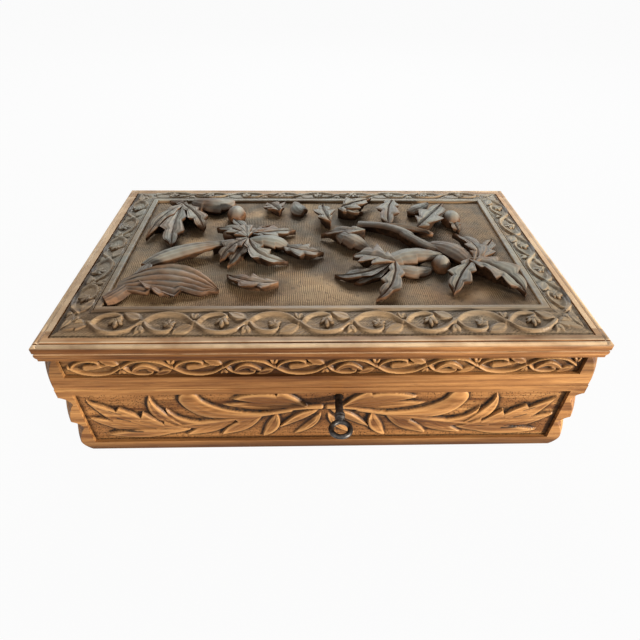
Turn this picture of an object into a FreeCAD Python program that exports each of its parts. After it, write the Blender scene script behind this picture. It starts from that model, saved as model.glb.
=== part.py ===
import FreeCAD, Part
import math
import os

# Carved jewelry box. Millimetres, +Z up, front towards -Y, origin under the middle of the base.

# Driving sizes of the box
body_x = 297.0
body_y = 191.0
part_z = 52.5
top_z = 84.0
wall = 12.0
rim_gap = 0.3
overhang = 1.5
mould_corner = 1.0
frame_h = 10.0
rail_x = 7.0
rail_y = 8.0
ledge_h = 3.0
panel_fit = 0.15
panel_gap = 1.0
bottom_h = 6.0
rabbet = 6.0
bottom_fit = 0.1

# Sunk carving grounds in the walls
ground_depth = 2.5
ground_end = 8.5
lower_z0 = 6.5
lower_z1 = 48.0
frieze_z0 = 61.5

# Lid panel
border = 18.2
border_rise = 3.2
bead_w = 4.0
bead_rise = 4.3
bead_round = 1.2
field_rise = 2.0
spray_gap = 0.3

# Scooped corners, set back along the diagonal
scoop_deep = 4.6
scoop_mid = 1.5
scoop_low = 0.4
scoop_entry = 5.5
scoop_foot = 4.0
lip_h = 6.5

# Carved forms, low on their ground and sunk a little into it
carve_sink = 0.3
stem_half = 0.6
stem_rise = 0.9
scroll_pitch = 27.7
scroll_margin = 2.2

# Linings
lining_t = 1.6
pad_t = 2.4
pad_crown = 0.8
lining_drop = 3.0
lining_fit = 0.2

# Hinges
hinge_x = 85.0
hinge_len = 30.0
hinge_inset = 3.0
leaf_w = 10.0
leaf_t = 1.0
knuckle_r = 2.25
knuckle_gap = 0.15
pin_r = 1.0
pin_fit = 0.05
relief = 0.3
stop_deg = 50.5
hinge_screw_pitch = 10.8
hinge_screw_back = 5.6
hinge_screw_stagger = 1.2
screw_r = 1.1
screw_len = 7.0
screw_head_r = 1.9
screw_head_t = 0.6
slot_w = 0.5
slot_depth = 0.35
screw_fit = 0.05

# Lock and key
key_x = 8.0
plate_half = 30.0
plate_t = 1.5
plate_drop = 10.0
cap_t = 0.8
cap_margin = 5.0
works_depth = 4.7
bolt_t = 2.0
bolt_h = 6.0
bolt_run = 0.1
bolt_x0 = -22.0
bolt_x1 = 16.0
throw = 5.0
bit_r = 5.2
bit_half = 1.0
bit_len = 3.4
talon_x0 = -6.0
talon_x1 = 1.1
talon_top = 5.75
axis_to_bolt = 2.4
prong_len = 4.5
prong_h = 2.5
staple_t = 2.0
staple_leg = 0.75
staple_bar = 1.2
staple_gap = 0.8
staple_side = 0.4
staple_room = 0.3
hook_a = -20.0
hook_b = 4.0
strike_half = 24.0
strike_t = 1.2
strike_w = 7.4
strike_screw_edge = 4.0
stud_r = 1.0
stud_x = 12.0
stump_x = 18.0
stump_r = 1.2
lock_screw_edge = 3.0
lock_screw_up = 5.0
lock_screw_len = 6.0
pipe_r = 2.1
pipe_bore = 1.15
drill_r = 1.0
drill_len = 11.0
key_out = 28.0
bow_ring = 5.2
bow_wire = 1.5
collar_r = 2.9
collar_t = 1.4
hole_r = 2.45
hole_slot = 2.6

# Sizes that follow
x_out = body_x / 2.0
y_out = body_y / 2.0
x_in = x_out - wall
y_in = y_out - wall
lid_z = part_z + rim_gap
frame_z = top_z - frame_h
x_mould = x_out + overhang
y_mould = y_out + overhang
x_open = x_mould - rail_x
y_open = y_mould - rail_y
ledge_z = frame_z + ledge_h
field_z = top_z + field_rise
x_field = x_open - border - bead_w
y_field = y_open - border - bead_w
hinge_y = y_out - hinge_inset
hinge_z = part_z + rim_gap / 2.0
rim_top = part_z - plate_t
key_z = rim_top - bolt_run - bolt_h - axis_to_bolt
works_y = -y_in - plate_t
cap_y = works_y - works_depth
cap_half = plate_half - cap_margin
bolt_y0 = works_y - works_depth / 2.0 - bolt_t / 2.0
bolt_y1 = bolt_y0 + bolt_t
eye_half = bolt_t / 2.0 + 0.2
staple_y0 = bolt_y0 + bolt_t / 2.0 - eye_half - staple_leg
staple_y1 = bolt_y0 + bolt_t / 2.0 + eye_half + staple_leg
bolt_z0 = key_z + axis_to_bolt
bolt_z1 = bolt_z0 + bolt_h

# Half of a wall's carving, drawn from its middle on a ground of this half length and these heights:
# foot, middle and tip of each leaf, its width and its rise
drawn_half = 140.0
drawn_z0 = 6.5
drawn_z1 = 48.0
WALL_LEAVES = [
    ((20, 33), (58, 25), (100, 18), 4, 1.4),
    ((8, 34), (28, 41), (54, 43), 12, 1.5),
    ((30, 31), (62, 31), (79, 44), 12, 1.7),
    ((56, 25), (80, 21), (92, 36), 7, 1.5),
    ((80, 18), (96, 29), (99, 46), 7, 1.5),
    ((80, 17), (110, 22), (135, 42), 16, 1.7),
    ((28, 31), (31, 19), (38, 9), 7, 1.5),
    ((36, 29), (49, 20), (63, 11), 10, 1.5),
    ((52, 25), (67, 18), (85, 11), 8, 1.4),
    ((84, 17), (108, 13), (133, 13), 8, 1.3),
    ((3, 33), (14, 27), (29, 16), 5, 1.4),
]

# The leaf layout was drawn on a field of this half size, heights above the field; a broad leaf has more teeth
drawn_x = 120.8
drawn_y = 66.8
broad_leaf = 14.5
SPRAY_LEFT = [
    ("stem", (-121, -62, 4.5), (-110, -49, 6.5), (-103, -29, 7.5), 10),
    ("blade", (-106, -32, 7.5), (-90, -17, 9.5), (-63, -8, 9.0), 12),
    ("stem", (-69, -9, 9.0), (-57, -5, 8.5), (-46, -3, 8.5), 6),
    ("leaf", (-114, -50, 6.0), (-84, -46, 9.0), (-63, -52, 3.0), 22),
    ("leaf", (-104, -49, 6.5), (-93, -54, 5.0), (-87, -57, 2.2), 10),
    ("leaf", (-96, 44, 9.0), (-107, 26, 9.0), (-115, 6, 2.8), 10),
    ("leaf", (-97, 44, 9.0), (-98, 14, 7.0), (-96, -4, 2.5), 15),
    ("leaf", (-97, 45, 9.0), (-84, 27, 9.0), (-79, 17, 2.8), 12),
    ("leaf", (-94, 45, 8.0), (-101, 51, 8.0), (-109, 56, 6.0), 7),
    ("shell", (-92, 60, 6.5), (-75, 53, 9.5), (-63, 59, 6.5), 20),
    ("leaf", (-47, -3, 8.5), (-55, 5, 10.0), (-69, 13, 6.5), 13),
    ("leaf", (-47, -2, 8.5), (-51, 8, 10.0), (-60, 27, 6.5), 12),
    ("leaf", (-47, -4, 8.5), (-57, -14, 8.0), (-63, -22, 2.2), 12),
    ("leaf", (-47, -6, 8.5), (-52, -18, 6.0), (-58, -27, 1.8), 9),
    ("leaf", (-46, -5, 8.5), (-38, -20, 7.0), (-21, -23, 2.2), 13),
    ("shell", (-46, -4, 8.5), (-31, -4, 10.0), (-21, -7, 5.0), 14),
    ("leaf", (-46, 4, 7.0), (-32, 11, 5.5), (-17, 16, 3.2), 14),
    ("leaf", (-46, 4, 8.0), (-41, 12, 7.0), (-34, 19, 5.5), 7),
    ("leaf", (-24, -6, 4.0), (-12, -14, 6.0), (1, -13, 3.0), 15),
    ("leaf", (-26, -47, 3.5), (-42, -48, 5.5), (-57, -37, 2.2), 13),
    ("leaf", (-29, 44, 4.0), (-32, 50, 5.0), (-39, 60, 3.0), 16),
    ("stem", (-26, -46, 2.4), (-24, -36, 2.4), (-21, -22, 2.4), 4),
    ("stem", (-41, 14, 4.0), (-36, 32, 3.0), (-31, 47, 3.0), 4),
    ("stem", (-24, 12, 3.5), (-23, 3, 3.5), (-21, -10, 3.5), 5),
    ("stem", (-94, 46, 6.0), (-74, 36, 5.0), (-61, 26, 5.0), 5),
    ("stem", (-66, 13, 6.0), (-63, 24, 5.0), (-60, 36, 4.0), 5),
    ("stem", (-78, 52, 5.0), (-81, 46, 5.0), (-84, 38, 5.0), 5),
]
NUTS_LEFT = [
    ((-59, 39, 3.5), 6.8),
    ((-59, 7, 4.5), 5.0),
]
SPRAY_RIGHT = [
    ("leaf", (7, 24, 6.0), (3, 33, 9.0), (2, 50, 6.0), 14),
    ("shell", (-12, 43, 5.0), (-15, 48, 7.0), (-18, 60, 5.0), 13),
    ("leaf", (14, 44, 6.0), (22, 46, 9.0), (38, 60, 6.0), 18),
    ("leaf", (13, 43, 7.0), (22, 39, 7.5), (31, 43, 4.0), 9),
    ("leaf", (54, 57, 6.5), (48, 37, 9.0), (46, 17, 4.5), 15),
    ("shell", (64, 45, 6.0), (70, 46, 8.0), (80, 56, 6.0), 11),
    ("leaf", (65, 16, 6.0), (75, 27, 9.0), (91, 55, 5.0), 18),
    ("leaf", (92, 29, 5.5), (93, 22, 4.5), (95, 17, 2.0), 8),
    ("stem", (26, 25, 6.0), (46, 15, 9.0), (60, 1, 9.0), 6.5),
    ("stem", (54, 7, 9.0), (65, -8, 9.0), (75, -15, 8.0), 6.5),
    ("stem", (43, 18, 8.5), (59, 15, 8.0), (76, 13, 4.0), 5.5),
    ("leaf", (29, 8, 8.0), (15, 7, 9.0), (0, 10, 3.5), 10),
    ("shell", (11, 6, 8.0), (21, -1, 9.0), (31, -6, 3.0), 16),
    ("leaf", (43, -33, 8.0), (30, -26, 9.0), (19, -20, 4.5), 22),
    ("leaf", (42, -31, 7.5), (22, -41, 6.0), (7, -37, 2.0), 10),
    ("leaf", (42, -32, 7.0), (28, -42, 4.5), (18, -45, 1.6), 9),
    ("leaf", (43, -31, 8.0), (39, -52, 7.0), (29, -63, 2.0), 12),
    ("shell", (38, -31, 8.0), (53, -23, 11.0), (73, -24, 9.0), 16),
    ("shell", (42, -30, 6.0), (54, -34, 6.0), (67, -30, 3.5), 13),
    ("leaf", (90, -33, 8.0), (95, -19, 11.0), (86, 3, 8.0), 12),
    ("shell", (90, -33, 8.0), (82, -17, 11.0), (67, -8, 8.0), 15),
    ("leaf", (91, -29, 5.0), (104, -10, 4.0), (114, 5, 2.5), 13),
    ("leaf", (88, -30, 8.0), (105, -42, 8.0), (115, -58, 2.0), 21),
    ("leaf", (91, -29, 8.0), (80, -45, 7.0), (74, -57, 1.6), 14),
    ("stem", (31, 25, 5.0), (20, 36, 5.0), (15, 47, 5.5), 5),
    ("stem", (4, 27, 5.0), (18, 26, 5.0), (31, 24, 6.0), 5),
    ("stem", (17, 46, 5.0), (0, 48, 5.0), (-15, 48, 5.0), 5),
    ("stem", (29, 26, 6.0), (32, 16, 7.0), (28, 7, 7.5), 5),
    ("stem", (69, 50, 4.5), (75, 43, 4.5), (79, 33, 5.0), 5),
    ("stem", (78, 33, 5.0), (87, 33, 4.5), (93, 33, 4.0), 5),
    ("stem", (40, -32, 7.5), (52, -25, 8.0), (75, -15, 8.0), 5),
    ("stem", (71, -12, 8.0), (81, -21, 8.0), (91, -33, 8.0), 6),
    ("stem", (73, -30, 6.0), (80, -30, 6.5), (91, -31, 7.0), 5),
]
NUTS_RIGHT = [
    ((92, 32, 3.5), 6.8),
    ((73, -30, 4.0), 7.2),
]

here = os.path.dirname(os.path.abspath(__file__))
parts_dir = os.path.join(here, "parts")
os.makedirs(parts_dir, exist_ok=True)


def V(x, y, z):
    return FreeCAD.Vector(x, y, z)


def box(x0, x1, y0, y1, z0, z1):
    return Part.makeBox(x1 - x0, y1 - y0, z1 - z0, V(x0, y0, z0))


def prism(points, along):
    wire = Part.makePolygon(points + [points[0]])
    return Part.Face(wire).extrude(along)


def rod(radius, start, along):
    return Part.makeCylinder(radius, along.Length, start, along)


def ring_points(sides, radius, centre, u, v):
    turns = [2.0 * math.pi * (i + 0.5) / sides for i in range(sides)]
    return [centre + u * (radius * math.cos(a)) + v * (radius * math.sin(a)) for a in turns]


def peg(radius, start, along):
    # Small eight-sided pin, for shanks, heads and studs that stay out of sight
    down = V(along.x, along.y, along.z).normalize()
    u = V(down.y, down.z, down.x)
    return prism(ring_points(8, radius, start, u, down.cross(u)), along)


def ridge(path, halves, rises, place):
    # Carved form along a path of (u, v) points: two slopes that meet in a ridge, pointed where a half is 0
    left = []
    right = []
    crest = []
    for i in range(len(path)):
        before = path[max(i - 1, 0)]
        after = path[min(i + 1, len(path) - 1)]
        du = after[0] - before[0]
        dv = after[1] - before[1]
        size = math.hypot(du, dv)
        u, v = path[i]
        nu = -dv / size * halves[i]
        nv = du / size * halves[i]
        left.append(place(u + nu, v + nv, -carve_sink))
        right.append(place(u - nu, v - nv, -carve_sink))
        crest.append(place(u, v, rises[i]))
    faces = []

    def facet(*points):
        if min((points[i] - points[i - 1]).Length for i in range(len(points))) > 1e-6:
            faces.append(Part.Face(Part.makePolygon(list(points) + [points[0]])))

    for i in range(len(path) - 1):
        for edge in (left, right):
            facet(edge[i], edge[i + 1], crest[i + 1])
            facet(edge[i], crest[i + 1], crest[i])
        facet(left[i], left[i + 1], right[i + 1])
        facet(left[i], right[i + 1], right[i])
    for i in (0, -1):
        facet(left[i], right[i], crest[i])
    return Part.Solid(Part.Shell(faces))


def ridge_leaf(foot, mid, tip, width, rise, place):
    path = []
    for t in (0.0, 1.0 / 3.0, 2.0 / 3.0, 1.0):
        c0 = 2.0 * (t - 0.5) * (t - 1.0)
        c1 = 4.0 * t * (1.0 - t)
        c2 = 2.0 * t * (t - 0.5)
        path.append((foot[0] * c0 + mid[0] * c1 + tip[0] * c2, foot[1] * c0 + mid[1] * c1 + tip[1] * c2))
    half = width / 2.0
    return ridge(path, (0.0, 0.9 * half, half, 0.0), (-carve_sink, rise, rise, -carve_sink), place)


def save(name, shape):
    shape.exportStep(os.path.join(parts_dir, name + ".step"))


def group(shapes):
    return Part.makeCompound(shapes)


# Walls: mitred boards


def wall_board(side, z0, z1):
    a, b, c, d = x_out, y_out, x_in, y_in
    plans = {
        "front": [(-a, -b), (a, -b), (c, -d), (-c, -d)],
        "back": [(a, b), (-a, b), (-c, d), (c, d)],
        "left": [(-a, b), (-a, -b), (-c, -d), (-c, d)],
        "right": [(a, -b), (a, b), (c, d), (c, -d)],
    }
    points = [V(x, y, z0) for x, y in plans[side]]
    return prism(points, V(0, 0, z1 - z0))


def sunk_ground(side, z0, z1):
    across_x = x_out - ground_end
    across_y = y_out - ground_end
    deep_x = x_out - ground_depth
    deep_y = y_out - ground_depth
    if side == "front":
        return box(-across_x, across_x, -y_out - 1.0, -deep_y, z0, z1)
    if side == "left":
        return box(-x_out - 1.0, -deep_x, -across_y, across_y, z0, z1)
    return box(deep_x, x_out + 1.0, -across_y, across_y, z0, z1)


def wall_leaves(side):
    # Two mirrored branches on the lower ground of a wall, u along the wall and v up
    half = (x_out if side == "front" else y_out) - ground_end
    places = {
        "front": lambda u, v, h: V(u, ground_depth - y_out - h, v),
        "left": lambda u, v, h: V(ground_depth - x_out - h, -u, v),
        "right": lambda u, v, h: V(x_out - ground_depth + h, u, v),
    }
    ku = half / drawn_half
    kv = (lower_z1 - lower_z0) / (drawn_z1 - drawn_z0)

    def drawn(point, turn):
        return turn * point[0] * ku, lower_z0 + (point[1] - drawn_z0) * kv

    leaves = []
    for turn in (1, -1):
        for foot, mid, tip, width, rise in WALL_LEAVES:
            points = [drawn(p, turn) for p in (foot, mid, tip)]
            leaves.append(ridge_leaf(*points, width, rise, places[side]))
    return leaves


def scoop(cx, cy, z_low, z_high, low, mid, deep, entry):
    # Cutter for one gouge scoop on the corner at signs cx, cy: deepest at entry below its top
    corner = V(cx * x_out, cy * y_out, 0)
    out = V(cx, cy, 0).normalize()
    side = V(-out.y, out.x, 0)
    far = 3.0 * scoop_deep

    def at(n, z):
        return corner + out * n + V(0, 0, z) - side * far

    z_deep = z_high - entry
    edges = [Part.Arc(at(-low, z_low), at(-mid, z_low + 0.45 * (z_deep - z_low)), at(-deep, z_deep)).toShape()]
    last = deep
    if entry > 0.0:
        edges.append(Part.Arc(at(-deep, z_deep), at(-0.7 * deep, z_high - 0.4 * entry), at(-low, z_high)).toShape())
        last = low
    edges.append(Part.makeLine(at(-last, z_high), at(far, z_high)))
    edges.append(Part.makeLine(at(far, z_high), at(far, z_low)))
    edges.append(Part.makeLine(at(far, z_low), at(-low, z_low)))
    return Part.Face(Part.Wire(edges)).extrude(side * (2.0 * far))


def corner_cutters(spans):
    return [scoop(cx, cy, *span) for cx in (-1, 1) for cy in (-1, 1) for span in spans]


step_z = (part_z - lip_h) / 2.0 + ground_depth
base_scoops = corner_cutters([
    (step_z, part_z - lip_h, scoop_low, scoop_mid, scoop_deep, scoop_entry),
    (lower_z0, step_z, scoop_low, scoop_mid, scoop_deep, scoop_entry),
    (0.0, lower_z0, scoop_foot, 0.4 * scoop_foot, scoop_low, 0.0),
])
lid_scoops = corner_cutters([(lid_z, frame_z, scoop_low, 0.6 * scoop_mid, scoop_deep, 0.0)])

stop = math.tan(math.radians(stop_deg))
reach = hinge_inset + 2.0
base_bevel = prism(
    [V(-x_out - 1, hinge_y, hinge_z), V(-x_out - 1, hinge_y + reach, hinge_z - reach * stop),
     V(-x_out - 1, hinge_y + reach, hinge_z)],
    V(body_x + 2, 0, 0))
lid_bevel = prism(
    [V(-x_out - 1, hinge_y, hinge_z), V(-x_out - 1, hinge_y + reach, hinge_z + reach * stop),
     V(-x_out - 1, hinge_y + reach, hinge_z)],
    V(body_x + 2, 0, 0))

base = {}
lid = {}
for side in ("front", "back", "left", "right"):
    lower = wall_board(side, 0.0, part_z)
    lower = lower.cut(box(-x_in - rabbet, x_in + rabbet, -y_in - rabbet, y_in + rabbet, -1.0, bottom_h))
    upper = wall_board(side, lid_z, frame_z)
    if side != "back":
        lower = lower.cut(sunk_ground(side, lower_z0, lower_z1)).fuse(wall_leaves(side))
        upper = upper.cut(sunk_ground(side, frieze_z0, frame_z))
    if side != "front":
        lower = lower.cut(base_bevel)
        upper = upper.cut(lid_bevel)
    base[side] = lower.cut(base_scoops)
    lid[side] = upper.cut(lid_scoops)

x_board = x_in + rabbet - bottom_fit
y_board = y_in + rabbet - bottom_fit
save("base_bottom", box(-x_board, x_board, -y_board, y_board, 0.0, bottom_h))


# Lid frame: one moulded section all round, cut into four rails


def moulding(face, along, length):
    # Section of the frame between the two outer faces, n measured outwards from the wall face
    nose = overhang
    section = [
        (nose - 4.1, top_z, 0), (nose - 3.9, top_z - 0.8, 2), (nose - 3.5, top_z - 0.6, 2),
        (nose - 1.1, top_z - 0.35, 1), (nose, top_z - 2.2, 0),
        (nose - 0.15, top_z - 3.6, 1), (nose - 0.8, top_z - 4.6, 0),
        (nose - 1.2, top_z - 4.7, 2), (nose - 1.2, top_z - 5.2, 2),
        (nose - 0.6, top_z - 5.3, 2), (nose - 0.7, top_z - 7.2, 1), (nose - 1.3, top_z - 8.6, 0),
        (nose - 1.3, frame_z, 2),
    ]

    def place(n, z, sign):
        if along == "x":
            return V(-length, sign * (face + n), z)
        return V(sign * (face + n), -length, z)

    edges = []
    for sign in (1, -1):
        points = [place(n, z, sign) for n, z, kind in section]
        kinds = [kind for n, z, kind in section]
        i = 0
        while i < len(points) - 1:
            if kinds[i + 1] == 1:
                edges.append(Part.Arc(points[i], points[i + 1], points[i + 2]).toShape())
                i += 2
            else:
                edges.append(Part.makeLine(points[i], points[i + 1]))
                i += 1
    first = section[0]
    last = section[-1]
    edges.append(Part.makeLine(place(first[0], first[1], 1), place(first[0], first[1], -1)))
    edges.append(Part.makeLine(place(last[0], last[1], 1), place(last[0], last[1], -1)))
    wire = Part.Wire(Part.sortEdges(edges)[0])
    run = V(2.0 * length, 0, 0) if along == "x" else V(0, 2.0 * length, 0)
    return Part.Face(wire).extrude(run)


frame = moulding(y_out, "x", x_mould + 2.0).common(moulding(x_out, "y", y_mould + 2.0))
block = box(-x_mould, x_mould, -y_mould, y_mould, frame_z, top_z)
upright = [edge for edge in block.Edges if abs(edge.Vertexes[0].Z - edge.Vertexes[1].Z) > frame_h / 2.0]
frame = frame.common(block.makeChamfer(mould_corner, upright))
frame = frame.cut(box(-x_open, x_open, -y_open, y_open, ledge_z, top_z + 1.0))
frame = frame.cut(box(-x_in, x_in, -y_in, y_in, frame_z - 1.0, top_z))
far_x = x_mould + 5.0
far_y = y_mould + 5.0
save("lid_rail_front", frame.common(box(-far_x, far_x, -far_y, -y_in, 0.0, top_z + 1.0)))
save("lid_rail_back", frame.common(box(-far_x, far_x, y_in, far_y, 0.0, top_z + 1.0)))
save("lid_rail_left", frame.common(box(-far_x, -x_in, -y_in, y_in, 0.0, top_z + 1.0)))
save("lid_rail_right", frame.common(box(x_in, far_x, -y_in, y_in, 0.0, top_z + 1.0)))

# Lid panel: sloping border, bead, sunk field


def rectangle(hx, hy, z):
    points = [V(-hx, -hy, z), V(hx, -hy, z), V(hx, hy, z), V(-hx, hy, z)]
    return Part.makePolygon(points + [points[0]])


x_panel = x_open - panel_gap
y_panel = y_open - panel_fit
x_bead = x_open - border
y_bead = y_open - border
slope = Part.makeLoft([rectangle(x_panel, y_panel, top_z), rectangle(x_bead, y_bead, top_z + border_rise)], True, True)
raised = box(-x_bead, x_bead, -y_bead, y_bead, top_z, top_z + bead_rise)
sunk = box(-x_field, x_field, -y_field, y_field, field_z, top_z + bead_rise + 1.0)
bead = raised.cut(sunk)
crest = [edge for edge in bead.Edges if min(v.Z for v in edge.Vertexes) > top_z + bead_rise - 0.01]
bead = bead.makeFillet(bead_round, crest)
panel = box(-x_panel, x_panel, -y_panel, y_panel, ledge_z, top_z)
panel = panel.fuse([slope, box(-x_bead, x_bead, -y_bead, y_bead, top_z, top_z + border_rise)])
panel = panel.cut(sunk).fuse(bead)


def border_scrolls(half, face, turn):
    # A winding stem along one side of the border, with a hooked shoot and a leaf at each turn
    run = half - border
    middle = border / 2.0
    swing = middle - scroll_margin - stem_half
    count = max(2, int(round(2.0 * run / scroll_pitch)))
    step = 2.0 * run / count
    c = round(math.cos(turn))
    s = round(math.sin(turn))

    def place(u, v, h):
        z = top_z + border_rise * v / border + h
        return V(c * u + s * (face - v), s * u - c * (face - v), z)

    forms = []
    for k in range(count):
        u = -run + (k + 0.5) * step
        way = -1 if k % 2 == 0 else 1
        stem = [(-0.5, 0.0), (-0.22, 0.9), (0.22, 0.9), (0.5, 0.0)]
        shoot = [(-0.42, 0.0), (-0.22, -0.75), (0.08, -0.75)]
        leaf = [(0.46, -0.1), (0.3, -0.6), (0.12, -1.0)]
        for path in (stem, shoot):
            points = [(u + a * step, middle + way * b * swing) for a, b in path]
            forms.append(ridge(points, [stem_half] * len(points), [stem_rise] * len(points), place))
        points = [(u + a * step, middle + way * b * swing) for a, b in leaf]
        forms.append(ridge_leaf(*points, 4.0 * stem_half, stem_rise, place))
    return forms


scrolls = []
for half, face, turn in ((x_open, y_open, 0.0), (y_open, x_open, 0.5), (x_open, y_open, 1.0), (y_open, x_open, 1.5)):
    scrolls += border_scrolls(half, face, turn * math.pi)
panel = panel.fuse(scrolls).removeSplitter()
save("lid_panel", panel)

# Carved sprays: each leaf is an outline stood on the field under an arched top


def leaf_solid(kind, foot, mid, tip, width):
    kx = x_field / drawn_x
    ky = y_field / drawn_y
    p0 = V(foot[0] * kx, foot[1] * ky, 0)
    p1 = V(mid[0] * kx, mid[1] * ky, 0)
    p2 = V(tip[0] * kx, tip[1] * ky, 0)
    count = 4 if kind == "stem" else 6 if width < broad_leaf else 8
    left = []
    right = []
    for i in range(count + 1):
        t = i / float(count)
        c0 = 2.0 * (t - 0.5) * (t - 1.0)
        c1 = 4.0 * t * (1.0 - t)
        c2 = 2.0 * t * (t - 0.5)
        p = p0 * c0 + p1 * c1 + p2 * c2
        d = p0 * (4.0 * t - 3.0) + p1 * (4.0 - 8.0 * t) + p2 * (4.0 * t - 1.0)
        d = d.normalize()
        n = V(-d.y, d.x, 0)
        if kind == "stem":
            half = width / 2.0
        elif kind == "blade":
            half = width / 2.0 * (0.45 + 0.55 * math.sin(math.pi * t))
        else:
            half = width / 2.0 * max(0.12, math.sin(math.pi * (0.08 + 0.92 * t)))
        if kind == "leaf" and i % 2 == 0 and 0 < i < count:
            half = half * 0.72
        left.append(p + n * half)
        right.append(p - n * half)
    outline = left + right[::-1]
    outline = [V(q.x, q.y, field_z) for q in outline]
    plan = prism(outline, V(0, 0, 3.0 * frame_h))
    run = p2 - p0
    length = run.Length
    d = run.normalize()
    n = V(-d.y, d.x, 0)
    far = 2.0 * length + width
    m = min(max((p1 - p0).dot(d), 0.25 * length), 0.75 * length)
    before = foot[2] - (mid[2] - foot[2]) * 0.15
    after = tip[2]
    back = width
    heights = [(-back, before), (0.0, foot[2]), (m, mid[2]), (length, after), (length + back, after)]
    side_points = [p0 + d * s + V(0, 0, field_z + h) - n * far for s, h in heights]
    side_points.append(p0 + d * (length + back) + V(0, 0, field_z) - n * far)
    side_points.append(p0 - d * back + V(0, 0, field_z) - n * far)
    return plan.common(prism(side_points, n * (2.0 * far)))


def nut_solid(centre, radius):
    kx = x_field / drawn_x
    ky = y_field / drawn_y
    middle = V(centre[0] * kx, centre[1] * ky, field_z)
    wires = []
    for share, height in ((0.86, 0.0), (1.0, centre[2]), (0.8, centre[2] + 0.6 * radius), (0.3, centre[2] + radius)):
        points = ring_points(10, share * radius, middle + V(0, 0, height), V(1, 0, 0), V(0, 1, 0))
        wires.append(Part.makePolygon(points + [points[0]]))
    return Part.makeLoft(wires, True, True)


over_bead = box(-x_open, x_open, -y_open, y_open, field_z, top_z + bead_rise + spray_gap).cut(
    box(-x_field + spray_gap, x_field - spray_gap, -y_field + spray_gap, y_field - spray_gap, 0.0, 2.0 * top_z))


def spray(leaves, nuts):
    solids = [leaf_solid(*leaf) for leaf in leaves]
    solids += [nut_solid(*nut) for nut in nuts]
    whole = solids[0].multiFuse(solids[1:])
    whole = whole.cut(over_bead)
    return whole.removeSplitter()


spray_left = spray(SPRAY_LEFT, NUTS_LEFT)
spray_right = spray(SPRAY_RIGHT, NUTS_RIGHT)
spray_left = spray_left.cut(spray_right)
save("carved_spray_left", spray_left)
save("carved_spray_right", spray_right)

# Linings

lining_top = part_z - lining_drop


def crowned(hx, hy, z, height, crown):
    # Pad with a raised middle, flat underneath
    inset = 6.0 * abs(crown)
    slab = box(-hx, hx, -hy, hy, min(z, z + height), max(z, z + height))
    dome = Part.makeLoft([rectangle(hx, hy, z + height), rectangle(hx - inset, hy - inset, z + height + crown)],
                         True, True)
    return slab.fuse(dome).removeSplitter()


x_pad = x_in - lining_fit
y_pad = y_in - lining_fit
x_floor = x_pad - lining_t
y_floor = y_pad - lining_t
save("lining_bottom", crowned(x_floor, y_floor, bottom_h, pad_t, pad_crown))
lock_notch = box(key_x - plate_half - 1.0, key_x + plate_half + 1.0, -y_out, -y_in + lining_t + 1.0,
                 key_z - plate_drop - 1.0, part_z)
lining_front = box(-x_pad, x_pad, -y_in, -y_in + lining_t, bottom_h, lining_top).cut(lock_notch)
save("lining_front", lining_front)
save("lining_back", box(-x_pad, x_pad, y_in - lining_t, y_in, bottom_h, lining_top))
y_side = y_in - lining_t - lining_fit
save("lining_left", box(-x_in, -x_in + lining_t, -y_side, y_side, bottom_h, lining_top))
save("lining_right", box(x_in - lining_t, x_in, -y_side, y_side, bottom_h, lining_top))
save("lid_lining", crowned(x_pad, y_pad, ledge_z, -pad_t, -pad_crown))

# Hinges


def screw(at, down, length, radius, head_radius, head_t, slot_dir):
    # Slotted flat head flush at the given point, shank going down from it
    head = peg(head_radius, at, down * head_t)
    shank = peg(radius, at, down * length)
    across = slot_dir.cross(down)
    start = at - slot_dir * head_radius * 2.0 - across * (slot_w / 2.0)
    wire = [start, start + slot_dir * head_radius * 4.0, start + slot_dir * head_radius * 4.0 + across * slot_w,
            start + across * slot_w]
    slot = prism(wire, down * slot_depth)
    return head.fuse(shank).cut(slot).removeSplitter()


def screw_hole(at, down, length, radius, head_radius, head_t):
    head = peg(head_radius + screw_fit, at - down * 0.5, down * (head_t + 0.5))
    return head.fuse(peg(radius + screw_fit, at - down * 0.5, down * (length + 0.5 + screw_fit)))


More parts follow.
